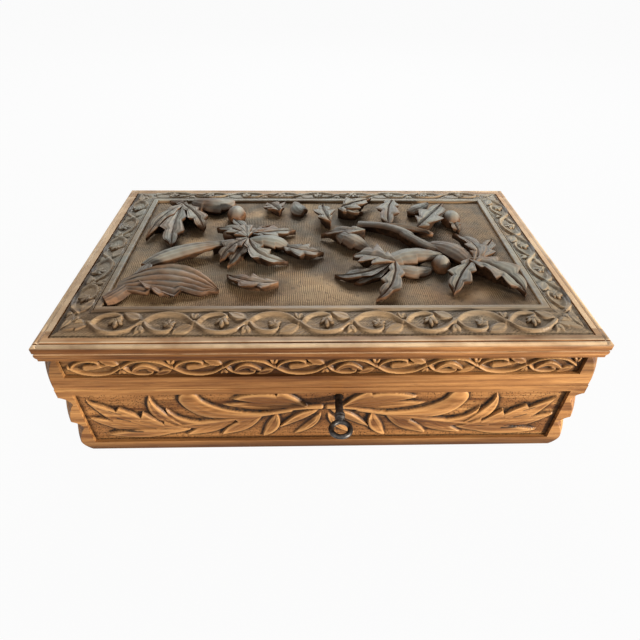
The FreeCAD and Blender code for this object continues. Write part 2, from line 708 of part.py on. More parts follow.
segment = hinge_len / 3.0
base_screws = []
lid_screws = []
groove_r = knuckle_r + relief
for name, cx in (("left", -hinge_x), ("right", hinge_x)):
    x0 = cx - hinge_len / 2.0
    x1 = cx + hinge_len / 2.0
    base_plate = box(x0, x1, hinge_y - leaf_w, hinge_y, part_z - leaf_t, part_z)
    lid_plate = box(x0, x1, hinge_y - leaf_w, hinge_y, lid_z, lid_z + leaf_t)
    base_mortise = base_plate
    lid_mortise = lid_plate
    for i in range(3):
        start = V(x0 + i * segment, hinge_y, hinge_z)
        clear = rod(groove_r, start - V(knuckle_gap / 2.0, 0, 0), V(segment + knuckle_gap, 0, 0))
        barrel = rod(knuckle_r, start + V(knuckle_gap / 2.0, 0, 0), V(segment - knuckle_gap, 0, 0))
        if i % 2 == 0:
            base_plate = base_plate.fuse(barrel)
            lid_plate = lid_plate.cut(clear)
        else:
            lid_plate = lid_plate.fuse(barrel)
            base_plate = base_plate.cut(clear)
    bore = rod(pin_r + pin_fit, V(x0 - 1, hinge_y, hinge_z), V(hinge_len + 2, 0, 0))
    groove = rod(groove_r, V(x0 - knuckle_gap, hinge_y, hinge_z), V(hinge_len + 2 * knuckle_gap, 0, 0))
    base_plate = base_plate.cut(bore)
    lid_plate = lid_plate.cut(bore)
    base["back"] = base["back"].cut([groove, base_mortise])
    lid["back"] = lid["back"].cut([groove, lid_mortise])
    for i in (-1, 0, 1):
        back = hinge_screw_back + (hinge_screw_stagger if i == 0 else 0.0)
        low = V(cx + i * hinge_screw_pitch, hinge_y - back, part_z)
        high = V(cx + i * hinge_screw_pitch, hinge_y - back, lid_z)
        sizes = (screw_len, screw_r, screw_head_r, screw_head_t)
        base_screws.append(screw(low, V(0, 0, -1), *sizes, V(0.8, 0.6, 0)))
        lid_screws.append(screw(high, V(0, 0, 1), *sizes, V(0.6, 0.8, 0)))
        hole = screw_hole(low, V(0, 0, -1), *sizes)
        base_plate = base_plate.cut(hole)
        base["back"] = base["back"].cut(hole)
        hole = screw_hole(high, V(0, 0, 1), *sizes)
        lid_plate = lid_plate.cut(hole)
        lid["back"] = lid["back"].cut(hole)
    save("hinge_base_leaf_" + name, base_plate.removeSplitter())
    save("hinge_lid_leaf_" + name, lid_plate.removeSplitter())
    save("hinge_pin_" + name, rod(pin_r, V(x0, hinge_y, hinge_z), V(hinge_len, 0, 0)))
save("hinge_screws_base", group(base_screws))
save("hinge_screws_lid", group(lid_screws))

# Lock: plate with selvedge, cap, bolt, spring, drill pin


def lx(x):
    return key_x + x


plate_z0 = key_z - plate_drop
plate = box(lx(-plate_half), lx(plate_half), works_y, -y_in, plate_z0, part_z)
plate = plate.fuse(box(lx(-plate_half), lx(plate_half), cap_y - cap_t, -y_in, rim_top, part_z))
works = box(lx(-cap_half), lx(cap_half), cap_y - cap_t, works_y, plate_z0 + 1.0, rim_top)
base["front"] = base["front"].cut([plate, works])
hooks = (hook_a + prong_len + staple_gap, hook_b + prong_len + staple_gap)
for h in hooks:
    slot = box(lx(h) - staple_gap, lx(h) + staple_t + staple_gap, staple_y0 - staple_side, staple_y1 + staple_side,
               rim_top - 1.0, part_z + 1.0)
    plate = plate.cut(slot)
for sx in (-1, 1):
    stud_z = bolt_z0 - bolt_run - stud_r
    plate = plate.fuse(peg(stud_r, V(lx(sx * stud_x), works_y, stud_z), V(0, -works_depth, 0)))
    plate = plate.fuse(peg(stump_r, V(lx(sx * stump_x), works_y, key_z - bit_r), V(0, -works_depth, 0)))
plate = plate.cut(rod(drill_r, V(key_x, -y_in, key_z), V(0, -plate_t, 0)))
save("lock_drill_pin", rod(drill_r, V(key_x, -y_in, key_z), V(0, -drill_len, 0)))

keyhole = rod(hole_r, V(key_x, works_y, key_z), V(0, -wall, 0)).fuse(
    box(lx(-hole_slot / 2.0), lx(hole_slot / 2.0), works_y - wall, works_y, key_z - bit_r - 0.5, key_z))
cap = box(lx(-cap_half), lx(cap_half), cap_y - cap_t, cap_y, plate_z0 + 1.0, rim_top).cut(keyhole)
save("lock_cap", cap)
base["front"] = base["front"].cut(keyhole)

bolt = box(lx(bolt_x0), lx(bolt_x1), bolt_y0, bolt_y1, bolt_z0, bolt_z1)
bolt = bolt.cut(box(lx(talon_x0), lx(talon_x1), bolt_y0, bolt_y1, bolt_z0, key_z + talon_top))
bar_z1 = bolt_z1 - prong_h - staple_room
bar_z0 = bar_z1 - staple_bar
for h in (hook_a, hook_b):
    end = h + prong_len + staple_gap + staple_t + staple_gap
    bolt = bolt.cut(box(lx(h), lx(end), bolt_y0, bolt_y1, bar_z0 - staple_room, bolt_z1 - prong_h))
    bolt = bolt.cut(box(lx(h + prong_len), lx(end), bolt_y0, bolt_y1, bar_z0 - staple_room, bolt_z1))
save("lock_bolt", bolt.removeSplitter())

spring_y0 = works_y - works_depth / 2.0
spring_x0 = stud_x + stud_r + 0.6
spring_x1 = stump_x + stump_r + 2.2
spring_top = bolt_z0 - bolt_run
spring = [(spring_x0, spring_top), (spring_x0, spring_top - 0.5), (spring_x1 - 0.6, key_z - 1.5),
          (spring_x1 - 0.6, key_z - bit_r - 1.0), (spring_x1, key_z - bit_r - 1.0), (spring_x1, key_z - 1.0)]
save("lock_spring", prism([V(lx(x), spring_y0, z) for x, z in spring], V(0, works_y - spring_y0, 0)))

lock_screws = []
for sx in (-1, 1):
    for up in (-1, 1):
        at = V(lx(sx * (plate_half - lock_screw_edge)), -y_in, key_z + up * lock_screw_up)
        sizes = (lock_screw_len, screw_r, screw_head_r, screw_head_t)
        lock_screws.append(screw(at, V(0, -1, 0), *sizes, V(0.8, 0, sx * 0.6)))
        hole = screw_hole(at, V(0, -1, 0), *sizes)
        plate = plate.cut(hole)
        base["front"] = base["front"].cut(hole)
save("lock_plate", plate.removeSplitter())
save("lock_screws", group(lock_screws))

# Strike plate with two staples on the lid
strike_y1 = bolt_y0 + bolt_t / 2.0 + strike_w / 2.0
strike = box(lx(-strike_half), lx(strike_half), strike_y1 - strike_w, strike_y1, lid_z, lid_z + strike_t)
lid["front"] = lid["front"].cut(strike)
for h in hooks:
    loop = box(lx(h), lx(h) + staple_t, staple_y0, staple_y1, bar_z0, lid_z)
    eye = box(lx(h) - 1.0, lx(h) + staple_t + 1.0, staple_y0 + staple_leg, staple_y1 - staple_leg, bar_z1, lid_z)
    strike = strike.fuse(loop.cut(eye))
strike_screws = []
for i in (-1, 0, 1):
    at = V(lx(i * (strike_half - strike_screw_edge)), strike_y1 - strike_w / 2.0, lid_z)
    sizes = (screw_len, screw_r, screw_head_r, screw_head_t)
    strike_screws.append(screw(at, V(0, 0, 1), *sizes, V(0.6, 0.8, 0)))
    hole = screw_hole(at, V(0, 0, 1), *sizes)
    strike = strike.cut(hole)
    lid["front"] = lid["front"].cut(hole)
save("strike_plate", strike.removeSplitter())
save("strike_screws", group(strike_screws))

# Key: piped shank, bit to the left, bow lying flat
pipe_y1 = works_y - 0.4
pipe_y0 = -y_out - key_out + 2.0 * (bow_ring + bow_wire) - 0.8
key = rod(pipe_r, V(key_x, pipe_y1, key_z), V(0, pipe_y0 - pipe_y1, 0))
bit_y1 = works_y - (works_depth - bit_len) / 2.0
key = key.fuse(box(lx(-bit_r), key_x, bit_y1 - bit_len, bit_y1, key_z - bit_half, key_z + bit_half))
key = key.fuse(rod(collar_r, V(key_x, pipe_y0 + 2.0 * collar_t, key_z), V(0, -collar_t, 0)))
bow_y = pipe_y0 - bow_ring - bow_wire + 0.8
bow_middle = V(key_x, bow_y, key_z)
bow_wire_points = ring_points(8, bow_wire * 1.06, bow_middle + V(bow_ring, 0, 0), V(1, 0, 0), V(0, 0, 1))
bow_face = Part.Face(Part.makePolygon(bow_wire_points + [bow_wire_points[0]]))
key = key.fuse(bow_face.revolve(bow_middle, V(0, 0, 1), 360))
drill_room = -y_in - drill_len - 0.5
key = key.cut(rod(pipe_bore, V(key_x, pipe_y1 + 1.0, key_z), V(0, drill_room - pipe_y1 - 1.0, 0)))
save("key", key.removeSplitter())

for side in base:
    save("base_" + side, base[side].removeSplitter())
    save("lid_" + side, lid[side].removeSplitter())
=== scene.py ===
# %% [markdown]
# # Carved walnut jewelry box
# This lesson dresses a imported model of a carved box. The boards, rails, hinges and lock come from the
# frame as they are. The carving, the leaves, the key and the velvet are made here, in millimetres, and
# turned into metres when a mesh is made.

# %% Load the frame
import math

import bmesh
import bpy
import numpy as np
from mathutils import Matrix, Vector


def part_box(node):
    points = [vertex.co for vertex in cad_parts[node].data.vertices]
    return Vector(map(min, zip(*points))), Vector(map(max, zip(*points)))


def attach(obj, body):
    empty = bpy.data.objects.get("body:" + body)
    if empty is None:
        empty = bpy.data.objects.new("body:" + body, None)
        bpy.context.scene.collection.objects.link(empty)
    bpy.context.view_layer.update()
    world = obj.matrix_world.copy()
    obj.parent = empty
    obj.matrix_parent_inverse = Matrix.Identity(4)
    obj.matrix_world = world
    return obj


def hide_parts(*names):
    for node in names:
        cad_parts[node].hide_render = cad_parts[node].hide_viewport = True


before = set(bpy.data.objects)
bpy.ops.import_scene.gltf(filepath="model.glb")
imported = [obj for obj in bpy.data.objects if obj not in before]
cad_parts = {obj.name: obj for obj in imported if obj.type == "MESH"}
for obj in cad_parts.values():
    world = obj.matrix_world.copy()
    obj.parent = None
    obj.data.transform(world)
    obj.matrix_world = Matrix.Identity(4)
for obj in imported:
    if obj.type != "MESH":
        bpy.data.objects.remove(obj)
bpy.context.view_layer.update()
scene = bpy.context.scene
MM = 0.001

# %% [markdown]
# ## The camera
# A camera can be placed by eye, or solved from known corners. This one was solved from the corners of the
# lid and the base, so it stands close, high and a little to the left. The middle of its lens is below the
# middle of the picture, which a small shift gives.

# %% Camera
PICTURE_PX = 640.0
FOCAL_PX = 476.4
CENTRE_PX = (320.2, 356.2)
YAW, PITCH, ROLL = 0.03434, 0.73471, 0.01584
EYE = Vector((-9.23, -279.77, 242.68)) * MM


def photo_camera():
    ahead = Vector((math.sin(YAW) * math.cos(PITCH), math.cos(YAW) * math.cos(PITCH), -math.sin(PITCH)))
    right = Vector((math.cos(YAW), -math.sin(YAW), 0.0))
    up = right.cross(ahead)
    across = math.cos(ROLL) * right + math.sin(ROLL) * up
    upward = -math.sin(ROLL) * right + math.cos(ROLL) * up
    data = bpy.data.cameras.new("photo_camera")
    data.sensor_width = 36.0
    data.lens = FOCAL_PX * data.sensor_width / PICTURE_PX
    data.shift_x = 0.5 - CENTRE_PX[0] / PICTURE_PX
    data.shift_y = CENTRE_PX[1] / PICTURE_PX - 0.5
    data.clip_start = 0.01
    camera = bpy.data.objects.new("photo_camera", data)
    turn = Matrix((across, upward, -ahead)).transposed().to_4x4()
    camera.matrix_world = Matrix.Translation(EYE) @ turn
    scene.collection.objects.link(camera)
    scene.camera = camera
    return camera


camera = photo_camera()
print("lens", round(camera.data.lens, 2))

# %% [markdown]
# ## Short names for node work
# Floor, world and finishes are node trees. They could be wired by hand in the editor. In a script, helpers
# that add a node and fill in its sockets let a tree read as a list of steps.

# %% Node helpers
WHITE = (1.0, 1.0, 1.0, 1.0)


def feed(tree, socket, value):
    # A socket holds a plain value, or is linked to the output of another node
    if isinstance(value, bpy.types.NodeSocket):
        tree.links.new(value, socket)
    else:
        socket.default_value = value


def fill_in(tree, node, **sockets):
    for name, value in sockets.items():
        feed(tree, node.inputs[name.replace("_", " ")], value)
    return node


def add(tree, kind, **sockets):
    return fill_in(tree, tree.nodes.new(kind), **sockets)


def maths(tree, operation, *values):
    node = tree.nodes.new("ShaderNodeMath")
    node.operation = operation
    for socket, value in zip(node.inputs, values):
        feed(tree, socket, value)
    return node.outputs[0]


def times(tree, a, b):
    return maths(tree, "MULTIPLY", a, b)


print("white", WHITE[:3])

# %% [markdown]
# ## Floor and light
# The box stands on a bare white ground. By Light Path the floor and the world are white to the camera and in
# reflections, and give little light themselves, so the carving keeps its shadows. A broad cool window behind
# puts a grey sheen on the top and throws the leaves' shadows forward. A warm lamp low at the right rakes
# along the front, and a weak one at the front left opens its shadows.

# %% Floor, world and lamps
scene.view_settings.view_transform = "Standard"
FILL, FILL_COLOUR = 0.075, (0.95, 0.98, 1.0, 1.0)
FLOOR_HALF, FLOOR_DROP = 3.0, 0.0004
FLOOR_GREY = (0.32, 0.32, 0.32, 1.0)
FLOOR_WHITE_SHARE = 0.96


def seen_directly(tree):
    # One for rays from the camera, from a mirror and through glass, so all three see white
    path = tree.nodes.new("ShaderNodeLightPath")
    seen = path.outputs["Is Camera Ray"]
    for ray in ("Is Glossy Ray", "Is Transmission Ray"):
        seen = maths(tree, "MAXIMUM", seen, path.outputs[ray])
    return seen


def white_when_seen(tree, out_kind, dim, white, share):
    # Rays that look straight at it get this share of white, and light bounces off the dim shader
    mix = add(tree, "ShaderNodeMixShader", Fac=times(tree, seen_directly(tree), share))
    tree.links.new(dim.outputs[0], mix.inputs[1])
    tree.links.new(white.outputs[0], mix.inputs[2])
    add(tree, out_kind, Surface=mix.outputs[0])


def white_world():
    world = bpy.data.worlds.new("white_room")
    scene.world = world
    world.use_nodes = True
    tree = world.node_tree
    tree.nodes.clear()
    dim = add(tree, "ShaderNodeBackground", Color=FILL_COLOUR, Strength=FILL)
    white = add(tree, "ShaderNodeBackground", Color=WHITE, Strength=1.0)
    white_when_seen(tree, "ShaderNodeOutputWorld", dim, white, 1.0)


def white_floor():
    mesh = bpy.data.meshes.new("floor")
    corners = [(FLOOR_HALF * x, FLOOR_HALF * y, 0) for x, y in ((-1, -1), (1, -1), (1, 1), (-1, 1))]
    mesh.from_pydata(corners, [], [(0, 1, 2, 3)])
    floor = bpy.data.objects.new("floor", mesh)
    scene.collection.objects.link(floor)
    floor.location.z = -FLOOR_DROP
    mat = bpy.data.materials.new("floor_white")
    mat.use_nodes = True
    tree = mat.node_tree
    tree.nodes.clear()
    dim = add(tree, "ShaderNodeBsdfDiffuse", Color=FLOOR_GREY)
    white = add(tree, "ShaderNodeEmission", Color=WHITE, Strength=1.0)
    white_when_seen(tree, "ShaderNodeOutputMaterial", dim, white, FLOOR_WHITE_SHARE)
    mesh.materials.append(mat)


def lamp(name, at, aim, size, watts, colour):
    data = bpy.data.lights.new(name, "AREA")
    data.shape = "RECTANGLE"
    data.size, data.size_y = size
    data.energy = watts
    data.color = colour
    obj = bpy.data.objects.new(name, data)
    obj.location = at
    obj.rotation_euler = (Vector(aim) - Vector(at)).to_track_quat("-Z", "Y").to_euler()
    scene.collection.objects.link(obj)


white_world()
white_floor()
lamp("window_behind", (0.10, 0.95, 0.80), (0, 0.02, 0.08), (0.8, 0.45), 16.0, (0.94, 0.98, 1.0))
lamp("lamp_right", (1.35, -0.92, 0.30), (0.0, -0.09, 0.04), (0.18, 0.18), 56.0, (1.0, 0.95, 0.84))
lamp("lamp_front", (-0.60, -1.0, 0.45), (-0.05, 0, 0.05), (0.6, 0.4), 3.4, (1.0, 0.94, 0.86))

# %% [markdown]
# ## Wood
# Old waxed walnut has long fibres, short dark pores and broad darker bands. A picture of wood would smear
# over the carving, so here they are noise, stretched along the board. The carved sheets carry three vertex
# values: one darkens the recesses with dirt and painted shade, one lightens the ridges with wear and a
# painted highlight, and one marks the ground where the carver stippled the wood with a small punch, whose
# marks get dark dots of painted shade. The leaves carry the first two and boards from the frame none, and a
# value that isn't there reads zero. Faces that look up take a layer that is partly dust and worn skin and
# partly painted sheen and shade: grey on the lid, less of it where hands reach over, and pale on the rails.
# The lid's own tones are greyer than the walls', a painted sheen too. The walls are darker at the foot,
# darker under the moulding, which is painted shade, and darker round the lock.

# %% Finish helpers


def srgb(r, g, b):
    def lin(c):
        c = c / 255.0
        return c / 12.92 if c <= 0.04045 else ((c + 0.055) / 1.055) ** 2.4

    return (lin(r), lin(g), lin(b), 1.0)


def mixed(tree, factor, a, b, mode="MIX"):
    node = tree.nodes.new("ShaderNodeMix")
    node.data_type = "RGBA"
    node.blend_type = mode
    for place, value in ((0, factor), (6, a), (7, b)):
        feed(tree, node.inputs[place], value)
    return node.outputs[2]


def ramp(tree, factor, stops):
    node = add(tree, "ShaderNodeValToRGB", Fac=factor)
    while len(node.color_ramp.elements) < len(stops):
        node.color_ramp.elements.new(0.5)
    for element, (place, colour) in zip(node.color_ramp.elements, stops):
        element.position = place
        element.color = colour
    return node.outputs[0]


def noise(tree, coords, scale, detail, rough=0.6, distortion=0.0):
    # Three numbers for the scale stretch the noise
    if isinstance(scale, tuple):
        coords = add(tree, "ShaderNodeMapping", Vector=coords, Scale=scale).outputs[0]
        scale = 1.0
    node = add(tree, "ShaderNodeTexNoise", Vector=coords, Scale=scale, Detail=detail, Roughness=rough,
               Distortion=distortion)
    return node.outputs[0]


def axis(tree, vector, letter):
    return add(tree, "ShaderNodeSeparateXYZ", Vector=vector).outputs[letter]


def span(tree, value, low, high, start=0.0, end=1.0):
    node = add(tree, "ShaderNodeMapRange", Value=value, From_Min=low, From_Max=high, To_Min=start, To_Max=end)
    return node.outputs[0]


def bumps(tree, height, strength, distance):
    return add(tree, "ShaderNodeBump", Height=height, Strength=strength, Distance=distance).outputs[0]


def new_material(name):
    mat = bpy.data.materials.new(name)
    mat.use_nodes = True
    tree = mat.node_tree
    return mat, tree, tree.nodes["Principled BSDF"], tree.nodes.new("ShaderNodeTexCoord")


print("middle grey in linear light", round(srgb(128, 128, 128)[0], 3))

# %% Where the wood is worn, stained, dusty and given painted sheen
BLACK = (0.0, 0.0, 0.0, 1.0)
# Hands darken the wood round this point beside the lock, as far as this
GRIP, GRIP_REACH = (-0.015, -0.0955, 0.055), 0.10
# Hands reach over the lid from the front left, so the dust, with its painted sheen and shade, thickens along
# this direction between two distances
DUST_AND_LIGHT_ALONG = (0.12, 1.0, 0.0)
DUST_AND_LIGHT_FROM, DUST_AND_LIGHT_TO, DUST_AND_LIGHT_LEAST = -0.084, -0.028, 0.15
# The pale worn skin of a long rail, with its painted sheen, is full outside this distance from the middle,
# and a small share inside it
RAIL_LIP, LIP_SOFT, LIP_LEAST = 0.0925, 0.001, 0.4


def carved_value(tree, name):
    node = tree.nodes.new("ShaderNodeAttribute")
    node.attribute_name = name
    return node.outputs["Fac"]


def grip_tone(tree, coords):
    shift = tuple(-c / GRIP_REACH for c in GRIP)
    place = add(tree, "ShaderNodeMapping", Vector=coords, Location=shift, Scale=(1.0 / GRIP_REACH,) * 3)
    spread = add(tree, "ShaderNodeTexGradient", Vector=place.outputs[0])
    spread.gradient_type = "SPHERICAL"
    return ramp(tree, spread.outputs["Fac"], [(0.0, WHITE), (0.65, srgb(196, 187, 182))])


def dust_and_painted_light_on(tree, spot, thinner_at_front, lip):
    coords = spot.outputs["Object"]
    # Faces that look up take dust and a painted sheen and shade
    up = ramp(tree, axis(tree, spot.outputs["Normal"], "Z"), [(0.35, BLACK), (0.9, WHITE)])
    cloud = ramp(tree, noise(tree, coords, 45.0, 3.0), [(0.3, srgb(150, 150, 150)), (0.62, WHITE)])
    share = times(tree, up, cloud)
    if thinner_at_front:
        away = add(tree, "ShaderNodeVectorMath")
        away.operation = "DOT_PRODUCT"
        tree.links.new(coords, away.inputs[0])
        away.inputs[1].default_value = DUST_AND_LIGHT_ALONG
        share = times(tree, share, span(tree, away.outputs["Value"], DUST_AND_LIGHT_FROM, DUST_AND_LIGHT_TO, DUST_AND_LIGHT_LEAST))
    if lip:
        from_middle = maths(tree, "ABSOLUTE", axis(tree, coords, "Y"))
        share = times(tree, share, span(tree, from_middle, lip - LIP_SOFT, lip, LIP_LEAST))
    return share


print("hands darken the wood for", GRIP_REACH / MM, "mm")

# %% Walnut finishes
WALL_HIGH = 0.085
PUNCH_MARKS = 880.0
ALONG_X = (26.0, 800.0, 800.0)
ALONG_Y = (800.0, 26.0, 800.0)


def walnut(name, tones, stretch, dirt_and_shade, rough, coat, dust_and_painted_light=None, dust_and_painted_light_share=1.0, thinner_at_front=False, wall=False,
           gripped=False, lip=None):
    pale, middle, dark = (srgb(*tone) for tone in tones)
    mat, tree, shader, spot = new_material(name)
    coords = spot.outputs["Object"]
    fibre = noise(tree, coords, stretch, 6.0, distortion=0.3)
    broad = noise(tree, coords, tuple(0.14 * s + 2.0 for s in stretch), 3.0, distortion=1.0)
    pores = noise(tree, coords, tuple(4.2 * s for s in stretch), 2.0)
    colour = ramp(tree, fibre, [(0.30, dark), (0.5, middle), (0.70, pale)])
    bands = ramp(tree, broad, [(0.34, srgb(128, 102, 82)), (0.6, WHITE)])
    colour = mixed(tree, 0.8, colour, bands, "MULTIPLY")
    if wall:
        # Darker towards the bottom, and under the moulding, where the darkening is painted shade
        level = span(tree, axis(tree, coords, "Z"), 0.0, WALL_HIGH)
        darker_at_foot_and_top = ramp(tree, level, [(0.02, srgb(150, 142, 136)), (0.10, WHITE), (0.70, WHITE),
                                   (0.76, srgb(206, 206, 206))])
        colour = mixed(tree, 1.0, colour, darker_at_foot_and_top, "MULTIPLY")
    if gripped:
        colour = mixed(tree, 1.0, colour, grip_tone(tree, coords), "MULTIPLY")
    pore = ramp(tree, pores, [(0.34, srgb(110, 88, 70)), (0.43, WHITE)])
    colour = mixed(tree, 0.45, colour, pore, "MULTIPLY")
    if dust_and_painted_light:
        # Dust, worn skin and painted sheen and shade on faces that look up
        colour = mixed(tree, times(tree, dust_and_painted_light_on(tree, spot, thinner_at_front, lip), dust_and_painted_light_share), colour, dust_and_painted_light)
    # Ridges lightened: wear and a painted highlight
    colour = mixed(tree, times(tree, carved_value(tree, "worn_and_highlit"), 0.6), colour, pale)
    # Dark dots at the punch marks: painted shade in their dents
    marks = add(tree, "ShaderNodeTexVoronoi", Vector=coords, Scale=PUNCH_MARKS)
    punch_shade = ramp(tree, marks.outputs["Distance"], [(0.12, srgb(78, 64, 54)), (0.44, WHITE)])
    colour = mixed(tree, carved_value(tree, "ground"), colour, punch_shade, "MULTIPLY")
    # Recesses darkened: dirt and painted shade
    speck = ramp(tree, noise(tree, coords, 300.0, 3.0), [(0.25, srgb(196, 196, 196)), (0.6, WHITE)])
    colour = mixed(tree, times(tree, carved_value(tree, "shade_and_grime"), speck), colour, dirt_and_shade)
    fill_in(tree, shader, Base_Color=colour, Coat_Weight=coat, Coat_Roughness=0.24, Specular_IOR_Level=0.15,
            Roughness=span(tree, fibre, 0.0, 1.0, rough - 0.08, rough + 0.14),
            Normal=bumps(tree, mixed(tree, 0.5, fibre, pore), 0.4, 0.0003))
    return mat


# Near black for the recesses: soot and painted shade
soot_and_shade = srgb(16, 9, 5)
wall_tones = ((208, 156, 100), (184, 130, 78), (156, 106, 62))
rail_tones = ((196, 144, 92), (164, 112, 66), (116, 74, 40))
# The lid's tones are greyer than the walls': painted sheen
top_tones = ((176, 147, 113), (160, 131, 98), (126, 100, 71))
field_tones = ((240, 200, 148), (226, 184, 134), (200, 160, 114))
leaf_tones = ((160, 115, 80), (124, 86, 58), (78, 52, 34))
plain_tones = ((140, 104, 70), (112, 80, 52), (78, 54, 34))
wall_look = {"dirt_and_shade": soot_and_shade, "rough": 0.5, "coat": 0.08, "wall": True}
# The pale skin on the rails' tops is wear and painted sheen
rail_look = {"dirt_and_shade": soot_and_shade, "rough": 0.58, "coat": 0.04, "dust_and_painted_light": srgb(230, 198, 160), "dust_and_painted_light_share": 0.9}
finish = {
    "front": walnut("walnut_front", wall_tones, ALONG_X, gripped=True, **wall_look),
    "side": walnut("walnut_side", wall_tones, ALONG_Y, **wall_look),
    "rail_x": walnut("walnut_rail_long", rail_tones, ALONG_X, gripped=True, lip=RAIL_LIP, **rail_look),
    "rail_y": walnut("walnut_rail_short", rail_tones, ALONG_Y, **rail_look),
    "top": walnut("walnut_top", top_tones, ALONG_X, srgb(48, 34, 20), rough=0.55, coat=0.08,
                  dust_and_painted_light=srgb(156, 155, 143), dust_and_painted_light_share=0.78, thinner_at_front=True),
    "field": walnut("walnut_field", field_tones, (90.0, 90.0, 90.0), srgb(64, 47, 30), rough=0.7, coat=0.0,
                    dust_and_painted_light=srgb(100, 100, 93), dust_and_painted_light_share=0.88, thinner_at_front=True),
    "leaf": walnut("walnut_leaf", leaf_tones, (50.0, 170.0, 170.0), srgb(24, 17, 11), rough=0.6, coat=0.06,
                   dust_and_painted_light=srgb(144, 145, 136), dust_and_painted_light_share=0.88, thinner_at_front=True),
    "plain": walnut("walnut_plain", plain_tones, ALONG_X, soot_and_shade, rough=0.6, coat=0.0),
}
print("finishes", len(finish))

# %% [markdown]
# ## A carver's tools
# Low relief could be sculpted, or displaced from a picture. Here it is a sheet of heights, because a carver
# also works down from one face. Each form is laid along a smooth line: a round stem, a full pod, or a leaf
# that is high along one edge and slopes to the other. A form only raises the sheet where it stands above
# what is there. What lies below the mean height around it is darkened, as dirt and painted shade, and what
# stands above it is lightened, as wear and a painted highlight. A trial leaf on a small sheet shows what each
# tool gives.

# %% Lines and the sheet
PATH_POINTS = 28
CURVE_POINTS = 73


def smooth_path(points):
    p = np.asarray(points, float)
    p = np.vstack([2 * p[0] - p[1], p, 2 * p[-1] - p[-2]])
    pieces = len(p) - 3
    out = []
    for t in np.linspace(0, pieces, PATH_POINTS):
        k = min(int(t), pieces - 1)
        s = t - k
        a, b, c, d = p[k:k + 4]
        square = 2 * a - 5 * b + 4 * c - d
        cube = 3 * b - a - 3 * c + d
        out.append(0.5 * (2 * b + (c - a) * s + square * s ** 2 + cube * s ** 3))
    return np.array(out)


def curve_through(foot, mid, tip, count=CURVE_POINTS):
    t = np.linspace(0, 1, count)[:, None]
    foot, mid, tip = (np.asarray(p, float) for p in (foot, mid, tip))
    return 2 * (t - 0.5) * (t - 1) * foot + 4 * t * (1 - t) * mid + 2 * t * (t - 0.5) * tip


def soft(x):
    x = np.clip(x, 0.0, 1.0)
    return x * x * (3 - 2 * x)


def along(U, V, path, reach):
    # For the points near a line: their mask, share of its length, and distance from it, left of it positive
    low, high = path.min(0) - reach, path.max(0) + reach
    near = (U > low[0]) & (U < high[0]) & (V > low[1]) & (V < high[1])
    u, v = U[near], V[near]
    best = np.full(u.shape, 1e9)
    share = np.zeros(u.shape)
    side = np.ones(u.shape)
    for k in range(len(path) - 1):
        a, d = path[k], path[k + 1] - path[k]
        s = np.clip(((u - a[0]) * d[0] + (v - a[1]) * d[1]) / (d @ d + 1e-12), 0, 1)
        du, dv = u - a[0] - s * d[0], v - a[1] - s * d[1]
        dist = np.hypot(du, dv)
        m = dist < best
        best[m] = dist[m]
        share[m] = ((k + s) / (len(path) - 1))[m]
        side[m] = np.where(d[0] * dv - d[1] * du < 0, -1.0, 1.0)[m]
    return near, share, best * side


def raise_to(H, near, h):
    H[near] = np.maximum(H[near], h)


trial_line = smooth_path([(1, 0), (10, 2), (19, 0)])
print("trial line", len(trial_line), "points")

# %% Stem, pod and leaf
STEM_TAPER = 0.4
CREST_OUTER = 0.75
LEAF_LOW_EDGE, LEAF_FLUTES = 0.6, 2.2


def stem(H, U, V, path, half, top):
    near, t, d = along(U, V, path, half + 1)
    w = half * (1.0 - STEM_TAPER * t)
    raise_to(H, near, top * np.clip(1 - (d / w) ** 2, 0, 1) ** 0.6)


def roof(H, U, V, path, half, top):
    # Two slopes that meet over a line and are pointed at its ends, as the frame's own leaves are
    near, t, d = along(U, V, path, half + 1)
    swell = np.interp(t, (0.0, 0.33, 0.67, 1.0), (0.0, 1.0, 1.0, 0.0))
    raise_to(H, near, top * swell * np.clip(1 - np.abs(d) / (half * swell + 0.01), 0, 1))


def crest(H, U, V, path, top, inner, inside):
    # A rim: steep on its outer side, rounded down on the inner side, left of the line 1 or right -1
    near, _, d = along(U, V, path, inner + 1)
    x = d * inside
    r = np.where(x > 0, x / inner, x / CREST_OUTER)
    raise_to(H, near, top * np.clip(1 - r * r, 0, 1) ** 1.5)


def pod(H, U, V, path, half, top):
    near, t, d = along(U, V, path, half + 1)
    w = half * (0.22 + 0.78 * soft(t / 0.72))
    r = np.clip(np.abs(d) / w, 0, 1)
    line = 0.05 * np.sin(9 * d / w) * soft((1 - t) / 0.3)
    raise_to(H, near, top * (1 - 0.34 * r * r - line) * soft((w - np.abs(d)) / 0.5))


def leaf(H, U, V, path, half, top, high, teeth=0):
    # high is the side of the line, left 1 or right -1, where the edge stands highest
    near, t, d = along(U, V, path, 1.3 * half + 1)
    x = d * high
    w = half * np.maximum(np.sin(np.pi * np.clip(0.02 + 0.98 * t, 0, 1)), 0.05)
    if teeth:
        w = w * np.where(x > 0, 0.72 + 0.46 * ((t * teeth) % 1.0), 1.0)
    r = np.clip(x / w, -1, 1)
    body = 0.5 * (1 + LEAF_LOW_EDGE) + 0.5 * (1 - LEAF_LOW_EDGE) * r
    body -= 0.09 * np.exp(-(d / 0.45) ** 2) * (t < 0.9)
    body -= 0.04 * (1 + np.cos(2 * np.pi * (LEAF_FLUTES * r + 0.6 * t))) * soft(half / 2.5 - 0.4)
    steep = soft((w - x) / 0.85) * soft((w + x) / np.maximum(0.35 * w, 0.6))
    raise_to(H, near, top * body * steep)


trial_u, trial_v = np.meshgrid(np.linspace(0, 20, 41), np.linspace(-6, 6, 25), indexing="ij")
trial = np.zeros_like(trial_u)
leaf(trial, trial_u, trial_v, trial_line, half=4.0, top=2.0, high=1)
print("trial leaf", round(float(trial.max()), 2), "mm high")

